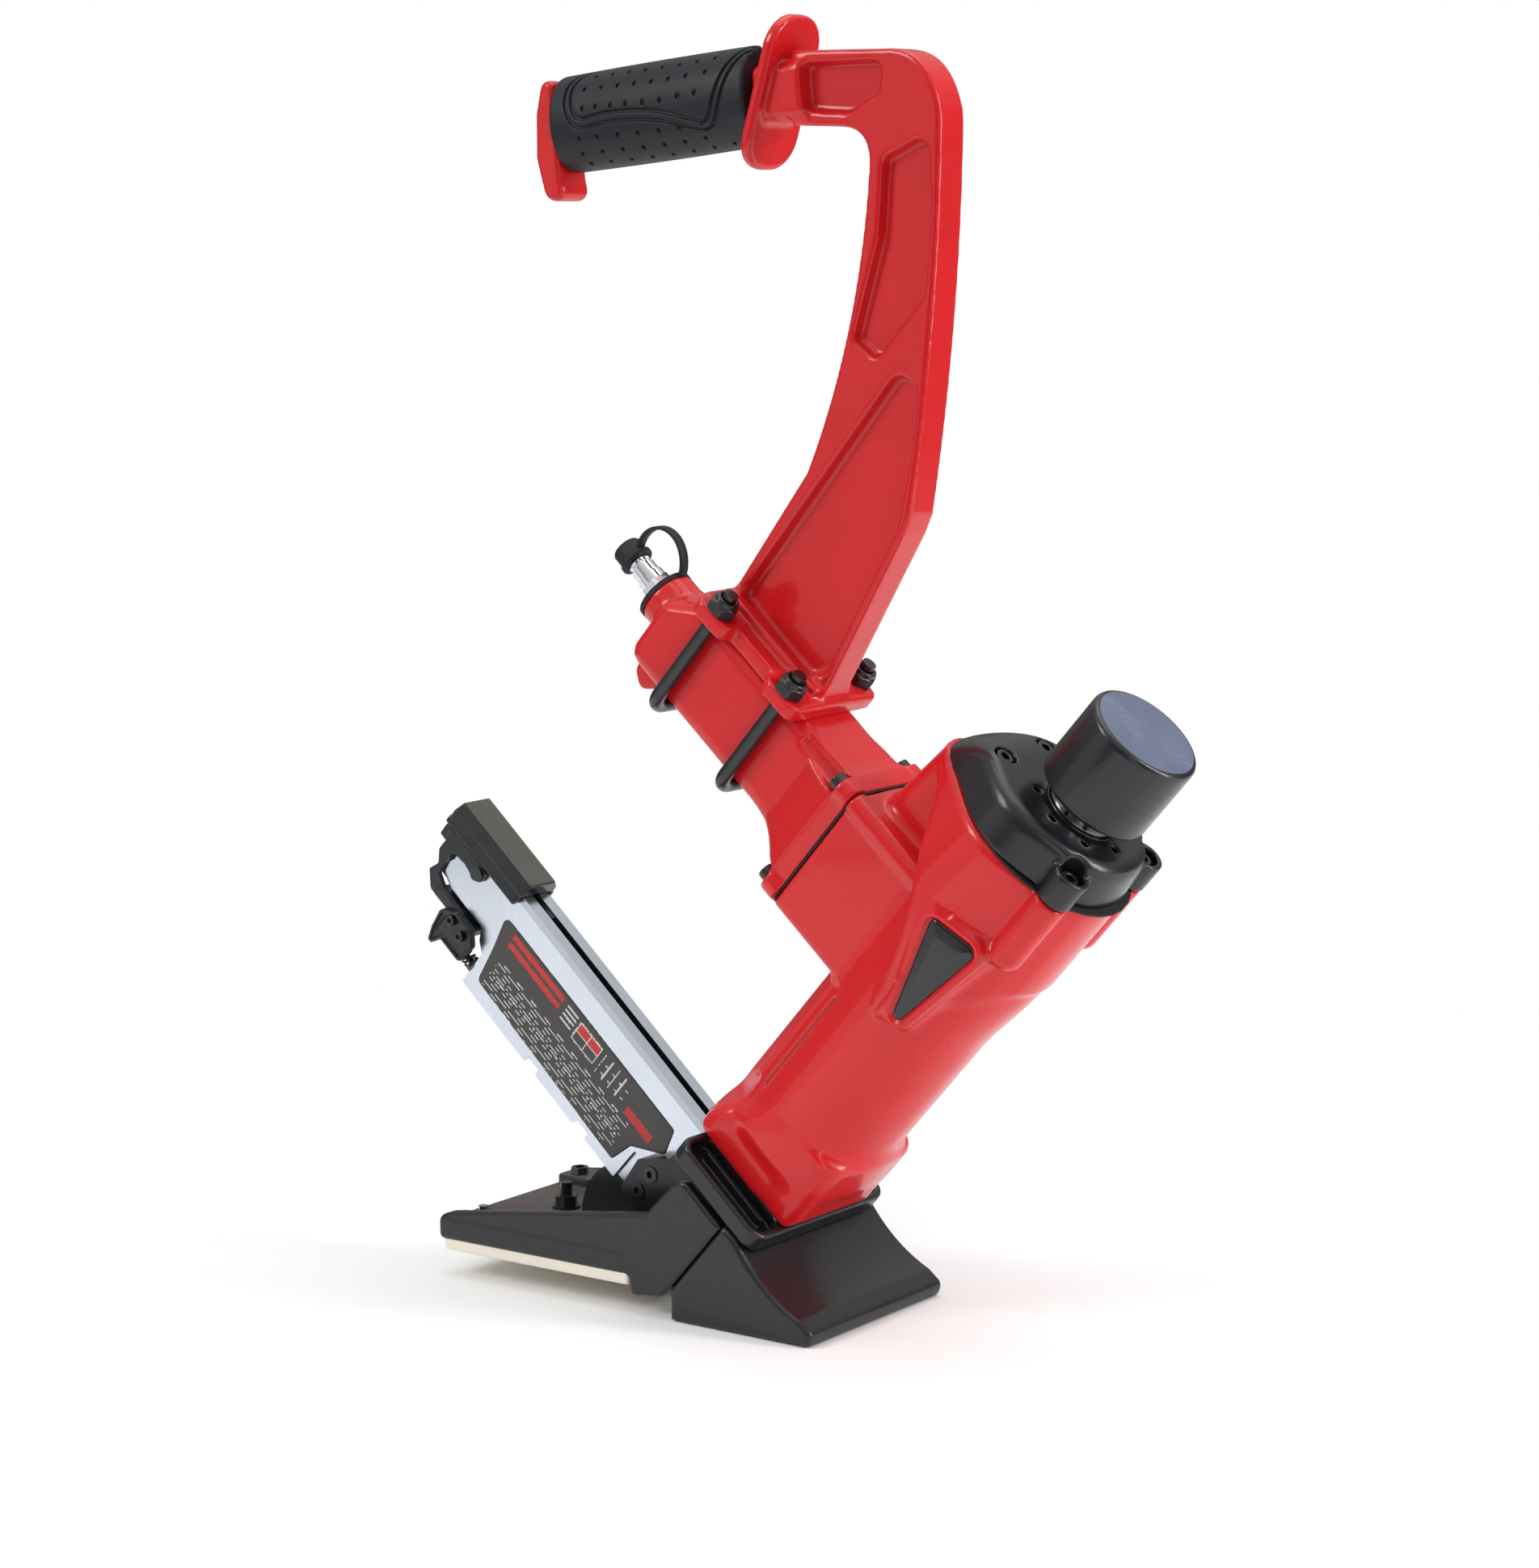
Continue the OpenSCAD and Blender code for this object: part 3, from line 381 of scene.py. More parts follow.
def joined(name, objects):
    """Several meshes as one object."""
    bm = bmesh.new()
    for o in objects:
        bm.from_mesh(o.data)
    mesh = bpy.data.meshes.new(name)
    bm.to_mesh(mesh)
    bm.free()
    for o in objects:
        data = o.data
        bpy.data.objects.remove(o)
        bpy.data.meshes.remove(data)
    for p in mesh.polygons:
        p.use_smooth = True
    obj = bpy.data.objects.new(name, mesh)
    bpy.context.scene.collection.objects.link(obj)
    return obj


def tube(name, path, r, matrix, sides=12):
    """A round bar along a path of points in millimetres."""
    pts = [Vector(p) for p in path]
    bm = bmesh.new()
    up = Vector((0, 1, 0))
    rings = []
    for i, p in enumerate(pts):
        d = (pts[min(i + 1, len(pts) - 1)] - pts[max(i - 1, 0)]).normalized()
        if abs(d.dot(up)) > 0.95:
            up = Vector((1, 0, 0))
        side = d.cross(up).normalized()
        up = side.cross(d).normalized()
        rings.append([bm.verts.new(p + r * (side * math.cos(2 * math.pi * k / sides)
                                            + up * math.sin(2 * math.pi * k / sides))) for k in range(sides)])
    for a, b in zip(rings, rings[1:]):
        for k in range(sides):
            bm.faces.new((a[k], a[(k + 1) % sides], b[(k + 1) % sides], b[k]))
    bm.faces.new(rings[0])
    bm.faces.new(rings[-1])
    mesh = bpy.data.meshes.new(name)
    bm.to_mesh(mesh)
    bm.free()
    mesh.transform(matrix)
    return finish_mesh(name, mesh)


def aim_s(s, y, t, sign=1):
    """Matrix that puts a piece's local Z along S (or against it), with its origin at s, y, t."""
    return DRIVER @ Matrix.Translation((s, y, t)) @ Matrix.Rotation(math.pi / 2 * sign, 4, "Y")


def aim_t(s, y, t):
    return DRIVER @ Matrix.Translation((s, y, t))


def aim_y(s, y, t, sign):
    return DRIVER @ Matrix.Translation((s, y, t)) @ Matrix.Rotation(math.pi / 2 * -sign, 4, "X")


def hexagon(x, y, across):
    h = across / 2
    out = np.abs(y)
    for g in (60, 120):
        c, s = math.cos(math.radians(g)), math.sin(math.radians(g))
        out = np.maximum(out, np.abs(s * x + c * y))
    return out - h


def socket_head(name, matrix, d=5.0, head=8.5, height=5.0, key=4.0, shank=6.0):
    """A socket head cap screw with a chamfered, knurled head."""
    f = Field((-head / 2 - 1, -head / 2 - 1, -shank - 1), (head / 2 + 1, head / 2 + 1, height + 1), 0.28)
    r, g = np.hypot(f.a, f.b), np.arctan2(f.b, f.a)
    knurl = 0.10 * np.cos(g * 28) * (np.abs(f.c - height * 0.42) < height * 0.36)
    body = extrude(r - head / 2 + 0.12 - knurl, f.c - height / 2, height / 2, 0.5)
    stem = extrude(r - d / 2, f.c + shank / 2 - 0.3, shank / 2, 0.3)
    hollow = extrude(hexagon(f.a, f.b, key), f.c - height, height * 0.62)
    shape = smax(np.minimum(body, stem), -hollow, 0.25)
    return f.mesh(name, shape, matrix)


def lock_nut(name, matrix, across=13.0, height=8.2, rod=3.35):
    """A nylon insert nut, with the end of its rod in it."""
    f = Field((-8.5, -8.5, -1), (8.5, 8.5, height + 3.4), 0.3)
    r = np.hypot(f.a, f.b)
    prism = extrude(hexagon(f.a, f.b, across), f.c - height * 0.36, height * 0.36, 0.25)
    chamfer = r - across * 0.575 + np.maximum(np.abs(f.c - height * 0.36) - height * 0.26, 0) * 1.6
    collar = extrude(r - across * 0.445, f.c - height * 0.5, height * 0.5, 1.1)
    nut = join(0.6, smax(prism, chamfer, 0.3), collar)
    nut = smax(nut, -(r - rod - 0.5), 0.3)
    thread = 0.22 * np.sin(f.c * 2 * math.pi / 1.25)
    rod_end = extrude(r - rod + thread, f.c - (height - 1.4) / 2 + 0.5, (height - 1.4) / 2 + 0.5, 0.5)
    return f.mesh(name, np.minimum(nut, rod_end), matrix)


# ------------------------------------------------------------------ housing

def head_half(y, t):
    """Outline of the head and of the top of the housing, across the driver axis."""
    half = [(0, 66), (7, 65), (13.5, 61), (19.5, 53), (28, 40), (36, 28), (40.6, 17), (41.6, 7), (40, -4),
            (36.5, -13), (32.5, -21), (25, -29.5), (14, -35.5), (0, -37.6)]
    points = half + [(-a, b) for a, b in reversed(half[1:-1])]
    for _ in range(2):
        points = [tuple(p[k] * (1 - w) + q[k] * w for k in (0, 1))
                  for p, q in zip(points, points[1:] + points[:1]) for w in (0.25, 0.75)]
    return outline(y, t, points)


BADGE = [(254.5, 8, 3.5), (261, -20, 4.5), (195, -10, 3)]


# Side outline of the swollen upper housing, which narrows to a point below the badge
SWELL = (curve((299.5, 68), (286, 50), (268, 37), 6) + curve((262, 31), (240, 12), (205, 6), 8)
         + curve((198, 3), (194, -4), (205, -10), 5) + curve((222, -18), (238, -36), (262, -46), 8)
         + [(299.5, -46)])


def ease(x):
    x = np.clip(x, 0, 1)
    return x * x * (3 - 2 * x)


def body_casting():
    f = Field((76, -44, -45), (302, 44, 78), 1.0)
    s, y, t = f.a, f.b, f.c
    ay = np.abs(y)
    lean = 1 + 0.13 * ease((240 - s) / 45)
    r = np.hypot(y, np.where(t < 0, t * lean, t))
    barrel = extrude(r - 37.2, s - 199.5, 99.5, 4.0)
    # lower end, square in section, with its lower rim cut back all round
    block = extrude(rectangle(y, t - 2.5, 33.5, 34.5, 11.0), s - 99, 21, 2.0)
    block = smax(block, (ay - 31.0 - (s - 78) * 0.7) * 0.8, 1.2)
    block = smax(block, (t - 35.0 - (s - 78) * 0.35) * 0.94, 1.2)
    block = smax(block, (-t - 28.5 - (s - 78) * 0.6) * 0.86, 1.2)
    block = smax(block, (s - 110 + (t - 6) * 0.55) * 0.88, 9.0)
    ledge_line = [(-27.5, -5), (27.5, -5), (27.5, 26.0), (15.5, 37.8), (-15.5, 37.8), (-27.5, 26.0)]
    ledge = extrude(outline(y, t, ledge_line), s - 134, 54, 1.0)
    ledge = smax(ledge, (t - 34.5 - (s - 78) * 0.13), 1.5)
    rail = extrude(rectangle(ay - 25.0, t - 28.2, 1.7, 2.6, 1.2), s - 152, 33, 1.2)
    gutter = extrude(rectangle(ay - 28.3, t - 21.5, 1.0, 2.0, 0.9), s - 150, 30, 1.2)
    port = extrude(rectangle(s - 220, y, 36, 28, 5.5), t - 37.75, 37.75, 0.6)
    head_shape = head_half(y, t - (300 - s) * 0.12 * (t > 0))
    crown = smax(extrude(head_shape, s - 272.5, 27, 0.5), ay - 15, 4.0)
    swell = smax(smax(head_shape, outline(s, t, SWELL), 5.0), s - 299.5, 0.5)
    ridge = extrude(np.hypot(s - 252, ay - 25.2) - 5.4, t - 49, 26.5, 0.5)
    ridge_end = np.sqrt((s - 252) ** 2 + (ay - 25.2) ** 2 + (t - 24) ** 2) - 5.4
    boss = extrude(np.hypot(ay - 29.5, t + 25.5) - 8.2, s - 282, 17.5, 0.4)
    boss_end = np.sqrt((ay - 29.5) ** 2 + (t + 25.5) ** 2 + (s - 265) ** 2) - 8.2
    shape = join(1.6, barrel, ledge)
    shape = join(11.0, shape, block)
    shape = join(1.2, shape, rail)
    shape = smax(shape, -gutter, 0.8)
    shape = join(4.5, shape, port)
    shape = join(5.0, shape, crown)
    shape = join(3.0, shape, swell)
    groove_line = np.hypot(s - 266.0 + (75 - t) * 0.18, (ay - 33.5) * 0.7 + (75 - t) * 0.12)
    groove = extrude(groove_line - 6.0, t - 62, 24, 6.0)
    shape = smax(shape, -groove, 1.4)
    shape = join(1.6, shape, np.minimum(ridge, ridge_end))
    shape = join(2.0, shape, np.minimum(boss, boss_end))
    line = rounded(BADGE)
    flat = outline(s, t, line)
    rim = extrude(flat - 4.4, y + 35, 6.4, 2.2)
    shape = join(4.0, shape, rim)
    pocket = extrude(flat - 1.0, y + 46, 6.0, 0.5)
    shape = smax(shape, -pocket, 0.6)
    # the cut faces of the casting
    shape = smax(shape, s - 299.0, 0.4)
    shape = smax(shape, 78.0 - s, 0.6)
    shape = smax(shape, t - 75.5, 0.4)
    return place(f.mesh("housing", shape, DRIVER, 1), "tool", "casting_red", ["body_casting"])


body_casting()


def badge():
    f = Field((198, -44, -28), (264, -33, 16), 0.5)
    flat = outline(f.a, f.c, rounded(BADGE, 8))
    dome = 40.9 + 0.5 * ease(-flat / 7)
    plate = smax(smax(flat + 0.1, -f.b - dome, 1.2), f.b + 36, 0.3)
    place(f.mesh("badge_plate", plate, DRIVER, 1), "tool", "badge", ["badge"])


badge()


def head_cap():
    f = Field((299, -45, -45), (328, 45, 69), 0.75)
    s, y, t = f.a, f.b, f.c
    ay = np.abs(y)
    r = np.hypot(y, t)
    grown = head_half(y, t) + 0.10 * (s - 300)
    toe = (s - 300) * 0.70 + (t - 66) * 0.72 - 1.0
    plateau = s - 321.6
    shell = smax(grown, plateau, 7.0)
    shell = smax(shell, toe, 9.0)
    collar = extrude(r - 18.2, s - 317.9, 4.0, 0.5)
    shell = join(2.5, shell, collar)
    boss = extrude(np.hypot(ay - 29.5, t + 25.5) - 8.6, s - 307, 8.2, 1.2)
    shell = join(2.2, shell, boss)
    shell = smax(shell, 300.0 - s, 0.6)
    low = extrude(np.hypot(ay - 29.5, t + 25.5) - 6.0, s - 320, 12.5, 0.5)
    slot_cut = extrude(rectangle(ay - 33.5, t + 29.0, 4.2, 3.4, 1.0), s - 322, 11.0, 0.5)
    high = extrude(np.hypot(ay - 16, t - 37) - 5.1, s - 325, 9.5, 0.4)
    shell = smax(shell, -low, 0.8)
    shell = smax(shell, -high, 0.8)
    for i in range(8):
        g = math.radians(45 * i)
        hole = np.hypot(y - 22.6 * math.cos(g), t - 22.6 * math.sin(g)) - 2.0
        shell = smax(shell, -smax(hole, 312 - s, 0.3), 0.5)
    bore = r - 16.9
    shell = smax(shell, -smax(bore, 318 - s, 0.3), 0.6)
    return place(f.mesh("head", shell, DRIVER, 1), "tool", "black_cast", ["head_cap"], "black_steel")


head_cap()
head_bolts = []
for sign in (-1, 1):
    head_bolts.append(socket_head("bolt", aim_s(315.4, sign * 16, 37)))
    head_bolts.append(socket_head("bolt", aim_s(308.2, sign * 29.5, -25.5)))
place(joined("head_bolts", head_bolts), "tool", "black_screw", ["head_screws"])


def arm_casting():
    f = Field((182, -31, 75), (258, 31, 226), 0.9)
    s, y, t = f.a, f.b, f.c
    ay = np.abs(y)
    left = curve((185.5, 86.5), (204.5, 94), (205.2, 119), 9)
    side_line = [(184, 76.5), (256, 76.5), (256, 87), (255.2, 93), (255, 196), (241, 213.5), (236, 215.5),
                 (212, 215.5), (206.5, 211), (205, 205)] + left[::-1] + [(184, 86)]
    front_line = [(-28, 76.5), (28, 76.5), (28, 86.5), (22, 107), (22, 212), (19, 215.5), (-19, 215.5),
                  (-22, 212), (-22, 107), (-28, 86.5)]
    core = smax(outline(s, t, side_line), outline(y, t, front_line), 9.0)
    flange = extrude(rectangle(s - 220, y, 36, 28, 6.5), t - 81.3, 4.8, 0.8)
    shape = join(2.0, core, flange)
    for place_s in (192.0, 252.0):
        post = extrude(np.hypot(s - place_s, ay - 24) - 6.2, t - 80.8, 4.6, 0.8)
        shape = join(2.0, shape, post)
        seat = extrude(np.hypot(s - place_s, ay - 24) - 5.4, t - 100, 14.6, 1.0)
        shape = smax(shape, -seat, 1.2)
    neck = extrude(np.hypot(s - 230, y) - 13.8, t - 214, 9.9, 1.0)
    shape = join(4.0, shape, neck)
    lug_line = rounded([(208, 191, 0), (208, 213, 0), (196, 211, 5), (190.5, 203, 4), (196, 197.5, 5)])
    lug = extrude(outline(s, t, lug_line), y, 9, 2.0)
    shape = join(4.0, shape, lug)
    shape = smax(shape, 76.5 - t, 0.4)
    shape = smax(shape, -extrude(np.hypot(s - 230, y) - 8.5, t - 224, 3, 0.3), 0.4)
    return place(f.mesh("air_arm", shape, DRIVER, 1), "tool", "casting_red", ["arm_casting"])


arm_casting()
place(joined("arm_bolts", [socket_head("bolt", aim_t(a, b * 24, 84.7)) for a in (192, 252) for b in (-1, 1)]),
      "tool", "black_screw", ["arm_screws"])

# ------------------------------------------------------------------ ram

cap_profile = [(16.6, 338.5), (20.6, 338.5), (20.6, 332.0), (21.4, 331.2), (25.4, 331.0), (26.3, 331.7),
               (26.5, 333.0), (26.5, 367.6), (26.35, 368.6), (25.9, 369.6), (25.1, 370.3), (24.0, 370.7),
               (12.0, 370.95), (0.0, 371.0), (0.0, 351.0), (16.6, 351.0)]
ram_matrix = aim_s(0, 0, 0)
cap = lathe("striking_cap", cap_profile, ram_matrix, 128)
cap.data.materials.append(MATS["black_steel"])
cap.data.materials.append(MATS["cap_face"])
for p in cap.data.polygons:
    n = p.normal
    if n.dot(Vector((COS, 0, SIN))) > 0.9 and (p.center - driver_point(371, 0, 0)).length < 0.0245:
        p.material_index = 1
place(cap, "ram", "black_steel", ["ram_cap"])

# ------------------------------------------------------------------ handle

FOOT_REAR = world_xz(262, 193)
FOOT_FRONT = world_xz(262, 125)
HANDLE_LINE = (
    [(12, 573.5), (62, 571.8)]
    + curve((66, 571.7), (85, 570), (90.6, 546), 8)
    + curve((91, 540), (88.2, 455), (71.8, 370.2), 12)
    + [(68, 362), FOOT_FRONT, FOOT_REAR]
    + curve((15.8, 388.5), (45.8, 449.8), (52.5, 520), 12)
    + curve((52.7, 526), (52, 538.5), (38, 539.5), 6)
    + [(12, 541)]
)
POCKETS = (
    rounded([(13, 568.0, 8), (13, 547.0, 8), (42, 544.5, 9), (59.5, 553.5, 6), (60.5, 567.5, 5)]),
    rounded([(85.0, 536, 6), (60, 525.5, 5), (57, 492, 30), (42, 447, 4), (55, 437.5, 5), (81.5, 465.5, 6),
             (85.4, 497, 40)]),
    rounded([(65.5, 433.5, 7), (77.5, 427.5, 6), (73.4, 398, 25), (65.0, 364.5, 8), (24.5, 298.4, 7),
             (12.6, 296.4, 6), (-24.0, 332, 5)]),
)
GRIP_TILT = math.radians(4.5)
GRIP_ORIGIN = (-1.5, 556.0)


def grip_axes(x, z):
    """Distance along the grip, from the guard to the free end, and height above its axis."""
    dx, dz = x - GRIP_ORIGIN[0], z - GRIP_ORIGIN[1]
    return (-dx * math.cos(GRIP_TILT) - dz * math.sin(GRIP_TILT),
            -dx * math.sin(GRIP_TILT) + dz * math.cos(GRIP_TILT))


def handle_casting():
    f = Field((-146, -34, 274), (94, 34, 594), 1.05)
    x, y, z = f.a, f.b, f.c
    ay = np.abs(y)
    web = extrude(outline(x, z, HANDLE_LINE), y, 9.5, 1.6)
    for line in POCKETS:
        flat = outline(x, z, line)
        draft = flat + np.maximum(0, 9.5 - ay) * 0.22
        web = smax(web, -smax(draft, 3.9 - ay, 2.0), 0.8)
    along, height = grip_axes(x, z)
    boss = extrude(rectangle(height + 0.5, y, 12.5, 12.5, 5), along + 7, 13, 1.5)
    web = join(4.0, web, boss)
    tilt = math.radians(18)
    gx, gz = x - GRIP_ORIGIN[0], z - GRIP_ORIGIN[1]
    across = gx * math.cos(tilt) - gz * math.sin(tilt)
    up = gx * math.sin(tilt) + gz * math.cos(tilt)
    guard = extrude(rectangle(y, up, 18, 35, 15), across, 2.9, 1.8)
    web = join(2.5, web, guard)
    bar = extrude(rectangle(height, y, 13, 7, 5), along - 62, 64, 1)
    end_line = rounded([(124, -24, 4), (124, 21, 4), (131, 21, 5), (136, 6, 8), (138, -14, 10),
                        (134, -34.5, 7), (122.5, -34.5, 5)])
    end = extrude(outline(along, height, end_line), y, 10, 2.4)
    shape = np.minimum(web, join(2.0, bar, end))
    # clamp plate, in the driver frame
    s = (x - EXIT[0]) * COS + (z - EXIT[2]) * SIN
    t = -(x - EXIT[0]) * SIN + (z - EXIT[2]) * COS
    plate = extrude(rectangle(y, t - 160, 24, 37, 2), s - 259.1, 3.9, 1.2)
    for centre in (133.0, 184.0):
        pad = extrude(rectangle(y, t - centre, 32, 11.5, 5), s - 259.1, 3.9, 1.2)
        plate = join(3.0, plate, pad)
    rail = extrude(rectangle(ay - 12.4, t - 160, 2.6, 33, 2), s - 263.5, 3.8, 1.6)
    plate = join(1.6, plate, rail)
    for centre in (133.0, 184.0):
        bolt = np.hypot(ay - 26.2, t - centre)
        plate = smax(plate, -extrude(bolt - 3.9, s - 259, 8, 0.2), 0.4)
    shape = join(5.0, shape, plate)
    return place(f.mesh("handle_web", shape, WORLD, 1), "handle", "casting_red", ["handle_casting"])


handle_casting()


GRIP_LOOP = [(104, 1.35), (110.5, 0.95), (111.5, 0.5), (109, 0.1), (103, -0.08), (89, -0.03), (73, -0.06),
             (56, -0.18), (40, -0.42), (33, -0.5), (28, -0.36), (24, 0.0), (20, 0.45), (15, 0.9), (9, 1.3)]
GRIP_DOTS = [([98, 88, 78, 68, 58, 48, 38, 28], 0.98), ([102, 92, 82, 72, 62, 52, 42, 31], 0.62),
             ([46, 36], 0.2), ([102, 94, 85, 76, 66, 56, 45], 0.18), ([106, 95, 83, 71, 59, 47, 34], -0.42),
             ([107, 95, 83, 71, 59, 47, 35], -0.78), ([106, 94, 82, 70, 58, 46, 34, 22], -1.12)]


def grip():
    """Rubber sleeve with a double groove round the palm's panel and small dimples."""
    f = Field((8, -18.5, -24.5), (124, 18.5, 24.5), 0.45)
    a, y, h = f.a, f.b, f.c
    swell = 0.7 * np.sin((a - 9) / 114 * math.pi)
    ring = np.hypot(y / (16.2 + swell * 0.6), h / (22.2 + swell * 0.6))
    skin = (ring - 1) * 18.5
    body = smax(skin, np.abs(a - 66) - 56.9, 2.4)
    angle = np.arctan2(h / 22.2, np.abs(y) / 16.2) * 19.5
    reach = None
    path = GRIP_LOOP
    smooth = []
    for k in range(len(path) - 1):
        p0, p1, p2, p3 = path[max(k - 1, 0)], path[k], path[k + 1], path[min(k + 2, len(path) - 1)]
        for q in range(4):
            w = q / 4
            smooth.append(tuple(0.5 * ((2 * p1[c]) + (p2[c] - p0[c]) * w + (2 * p0[c] - 5 * p1[c] + 4 * p2[c] - p3[c])
                                       * w * w + (3 * p1[c] - p0[c] - 3 * p2[c] + p3[c]) * w ** 3) for c in (0, 1)))
    smooth.append(path[-1])
    for (a0, g0), (a1, g1) in zip(smooth, smooth[1:]):
        g0, g1 = g0 * 19.5, g1 * 19.5
        ea, eg = a1 - a0, g1 - g0
        w = np.clip(((a - a0) * ea + (angle - g0) * eg) / (ea * ea + eg * eg), 0, 1)
        gap = (a - a0 - ea * w) ** 2 + (angle - g0 - eg * w) ** 2
        reach = gap if reach is None else np.minimum(reach, gap)
    reach = np.sqrt(reach)
    twin = np.abs(reach - 1.8) - 0.75
    body = smax(body, -smax(twin, -skin - 1.5, 0.4), 0.45)
    dots = None
    for places, g in GRIP_DOTS:
        for a0 in places:
            gap = np.hypot((a - a0) * 1.25, angle - g * 19.5 - 0.8 * math.cos(a0 * 0.06)) - 1.15
            dots = gap if dots is None else np.minimum(dots, gap)
    body = smax(body, -smax(dots, -skin - 1.4, 0.4), 0.3)
    hollow = rectangle(h, y, 13.2, 7.2, 5)
    shape = smax(body, -hollow, 0.3)
    turn = Matrix.Translation((GRIP_ORIGIN[0], 0, GRIP_ORIGIN[1])) @ Matrix.Rotation(-GRIP_TILT, 4, "Y")
    return place(f.mesh("grip", shape, MM @ turn @ Matrix.Diagonal((-1, 1, 1, 1))), "handle", "grip_rubber",
                 ["grip_sleeve"])


grip()
place(joined("clamp_nuts", [lock_nut("nut", aim_s(263.1, side * 26.2, t))
                            for t in (133, 184) for side in (-1, 1)]),
      "handle", "black_screw", ["u_bolt_nuts"])

# ------------------------------------------------------------------ nose and shoe


def nose_casting():
    f = Field((-10, -53, -33), (80, 53, 33), 0.85)
    s, y, t = f.a, f.b, f.c
    ay = np.abs(y)
    tray = extrude(rectangle(y, t, 50, 30.5, 8), s - 73, 5, 1.4)
    slot = extrude(rectangle(ay - 38.6, t, 8.6, 26.5, 5.5), s - 78, 6.4, 1.0)
    tray = smax(tray, -slot, 1.0)
    rib = extrude(rectangle(ay - 36.0, t, 1.1, 20.5, 1.0), s - 74, 2.2, 0.8)
    tray = join(0.8, tray, rib)
    guide = extrude(rectangle(y, t + 0.5, 22, 12.5, 1.5), s - 34, 34.5, 0.8)
    shape = join(2.0, tray, guide)
    x = EXIT[0] + s * COS - t * SIN
    z = EXIT[2] + s * SIN + t * COS
    shape = smax(shape, -smax(x + 65, z - 13.7, 0.3), 0.5)
    shape = smax(shape, 6.0 - z, 0.5)
    shape = smax(shape, -extrude(rectangle(y, t, 7.4, 2.3), s - 40, 60), 0.3)
    return place(f.mesh("nose", shape, DRIVER, 1), "tool", "black_steel", ["nose_casting"])


nose_casting()


def front_wedge():
    rear_high = world_xz(67.2, -13.2)
    line = ([(-40, 0), (-40, 14.4), rear_high, (-6, 47.2)] + curve((-1.5, 43.5), (12, 22), (34, 12), 14)
            + rounded([(34, 12, 0), (41.5, 6, 4), (39, 0, 2), (35, 0, 0)]))
    f = Field((-43, -54, -2), (44, 54, 52), 0.9)
    d = extrude(outline(f.a, f.c, line), f.b, 52, 2.0)
    d = smax(d, -f.c, 0.4)
    place(f.mesh("front_shoe", d, WORLD, 1), "tool", "black_cast", ["front_wedge"])


front_wedge()


def base_plate():
    top = world_xz(66, 15.2)
    toe = world_xz(66, -12.9)
    seam = world_xz(20.6, -12.9)
    line = rounded([(-182, 18.6, 2), (-182, 29.5, 3), (-175, 32, 3), (-53.2, 49, 0), (-36, 65.8, 4),
                    (top[0], top[1], 4), (toe[0], toe[1], 0), (seam[0], seam[1], 0), (-46, 10, 2),
                    (-63.6, 8.1, 2), (-64.4, 16.5, 0), (-69, 18.6, 0)])
    f = Field((-184, -54, 6), (-6, 54, 70), 0.95)
    x, y, z = f.a, f.b, f.c
    ay = np.abs(y)
    cheek = extrude(outline(x, z, line), ay - 49, 3, 1.3)
    floor = extrude(rectangle(x + 125.5, z - 22.8, 56.5, 4.2, 0.6), y, 51.5, 0.6)
    notch = extrude(rectangle(x + 42, y, 42, 23, 2), z - 23, 6)
    floor = smax(floor, -notch, 0.6)
    stop = extrude(rectangle(x + 167, y - 39.5, 11, 9.5, 2), z - 29.4, 3.6, 1.2)
    shape = join(3.0, cheek, floor)
    shape = join(1.5, shape, stop)
    obj = f.mesh("rear_shoe", shape, WORLD, 1)
    obj.data.materials.append(MATS["black_cast"])
    obj.data.materials.append(MATS["plate_top"])
    for p in obj.data.polygons:
        c = p.center
        if p.normal.z > 0.7 and abs(c.y) < 0.0455 and c.z < 0.034:
            p.material_index = 1
    place(obj, "tool", "black_cast", ["base_plate"])


base_plate()


def base_pad():
    line = rounded([(-182, -52, 5), (-65, -52, 2), (-65, -23, 2), (-84, -23, 2), (-84, 23, 2), (-65, 23, 2),
                    (-65, 52, 2), (-182, 52, 5)])
    f = Field((-184, -54, 11.5), (-63, 54, 20), 0.8)
    d = extrude(outline(f.a, f.b, line), f.c - 15.6, 2.92, 0.9)
    for px in (-168, -98):
        for py in (-36, 36):
            d = smax(d, -smax(np.hypot(f.a - px, f.b - py) - 5.2, f.c - 16.5, 0.3), 0.4)
    place(f.mesh("pad", d, WORLD), "tool", "cream_pad", ["base_pad"])


base_pad()

# ------------------------------------------------------------------ magazine, pusher and latch


def pusher_cover():
    f = Field((56, -16, 185), (72, 16, 246), 0.55)
    s, y, t = f.a, f.b, f.c
    line = [(-14.6, 58), (-14.3, 61), (-12.9, 62.6), (-13.1, 65.3), (-8.8, 69.8), (8.8, 69.8), (13.1, 65.3),
            (12.9, 62.6), (14.3, 61), (14.6, 58)]
    skin = extrude(outline(y, s, line), t - 215.5, 28.4, 0.7)
    inside = rectangle(y, s - 50, 11.4, 12.4, 0.8)
    skin = smax(skin, -inside, 0.5)
    obj = f.mesh("pusher_hood", skin, DRIVER, 1)
    obj.data.materials.append(MATS["black_steel"])
    obj.data.materials.append(MATS["cover_olive"])
    # Painted light: the faces turned up along S take the paler grey-olive and the sides stay near black, so one
    # finish is split into a lit copy and a shaded copy.
    for p in obj.data.polygons:
        if p.normal.dot(Vector((COS, 0, SIN))) > 0.9:
            p.material_index = 1
    place(obj, "pusher", "black_steel", ["pusher_cover"])


pusher_cover()

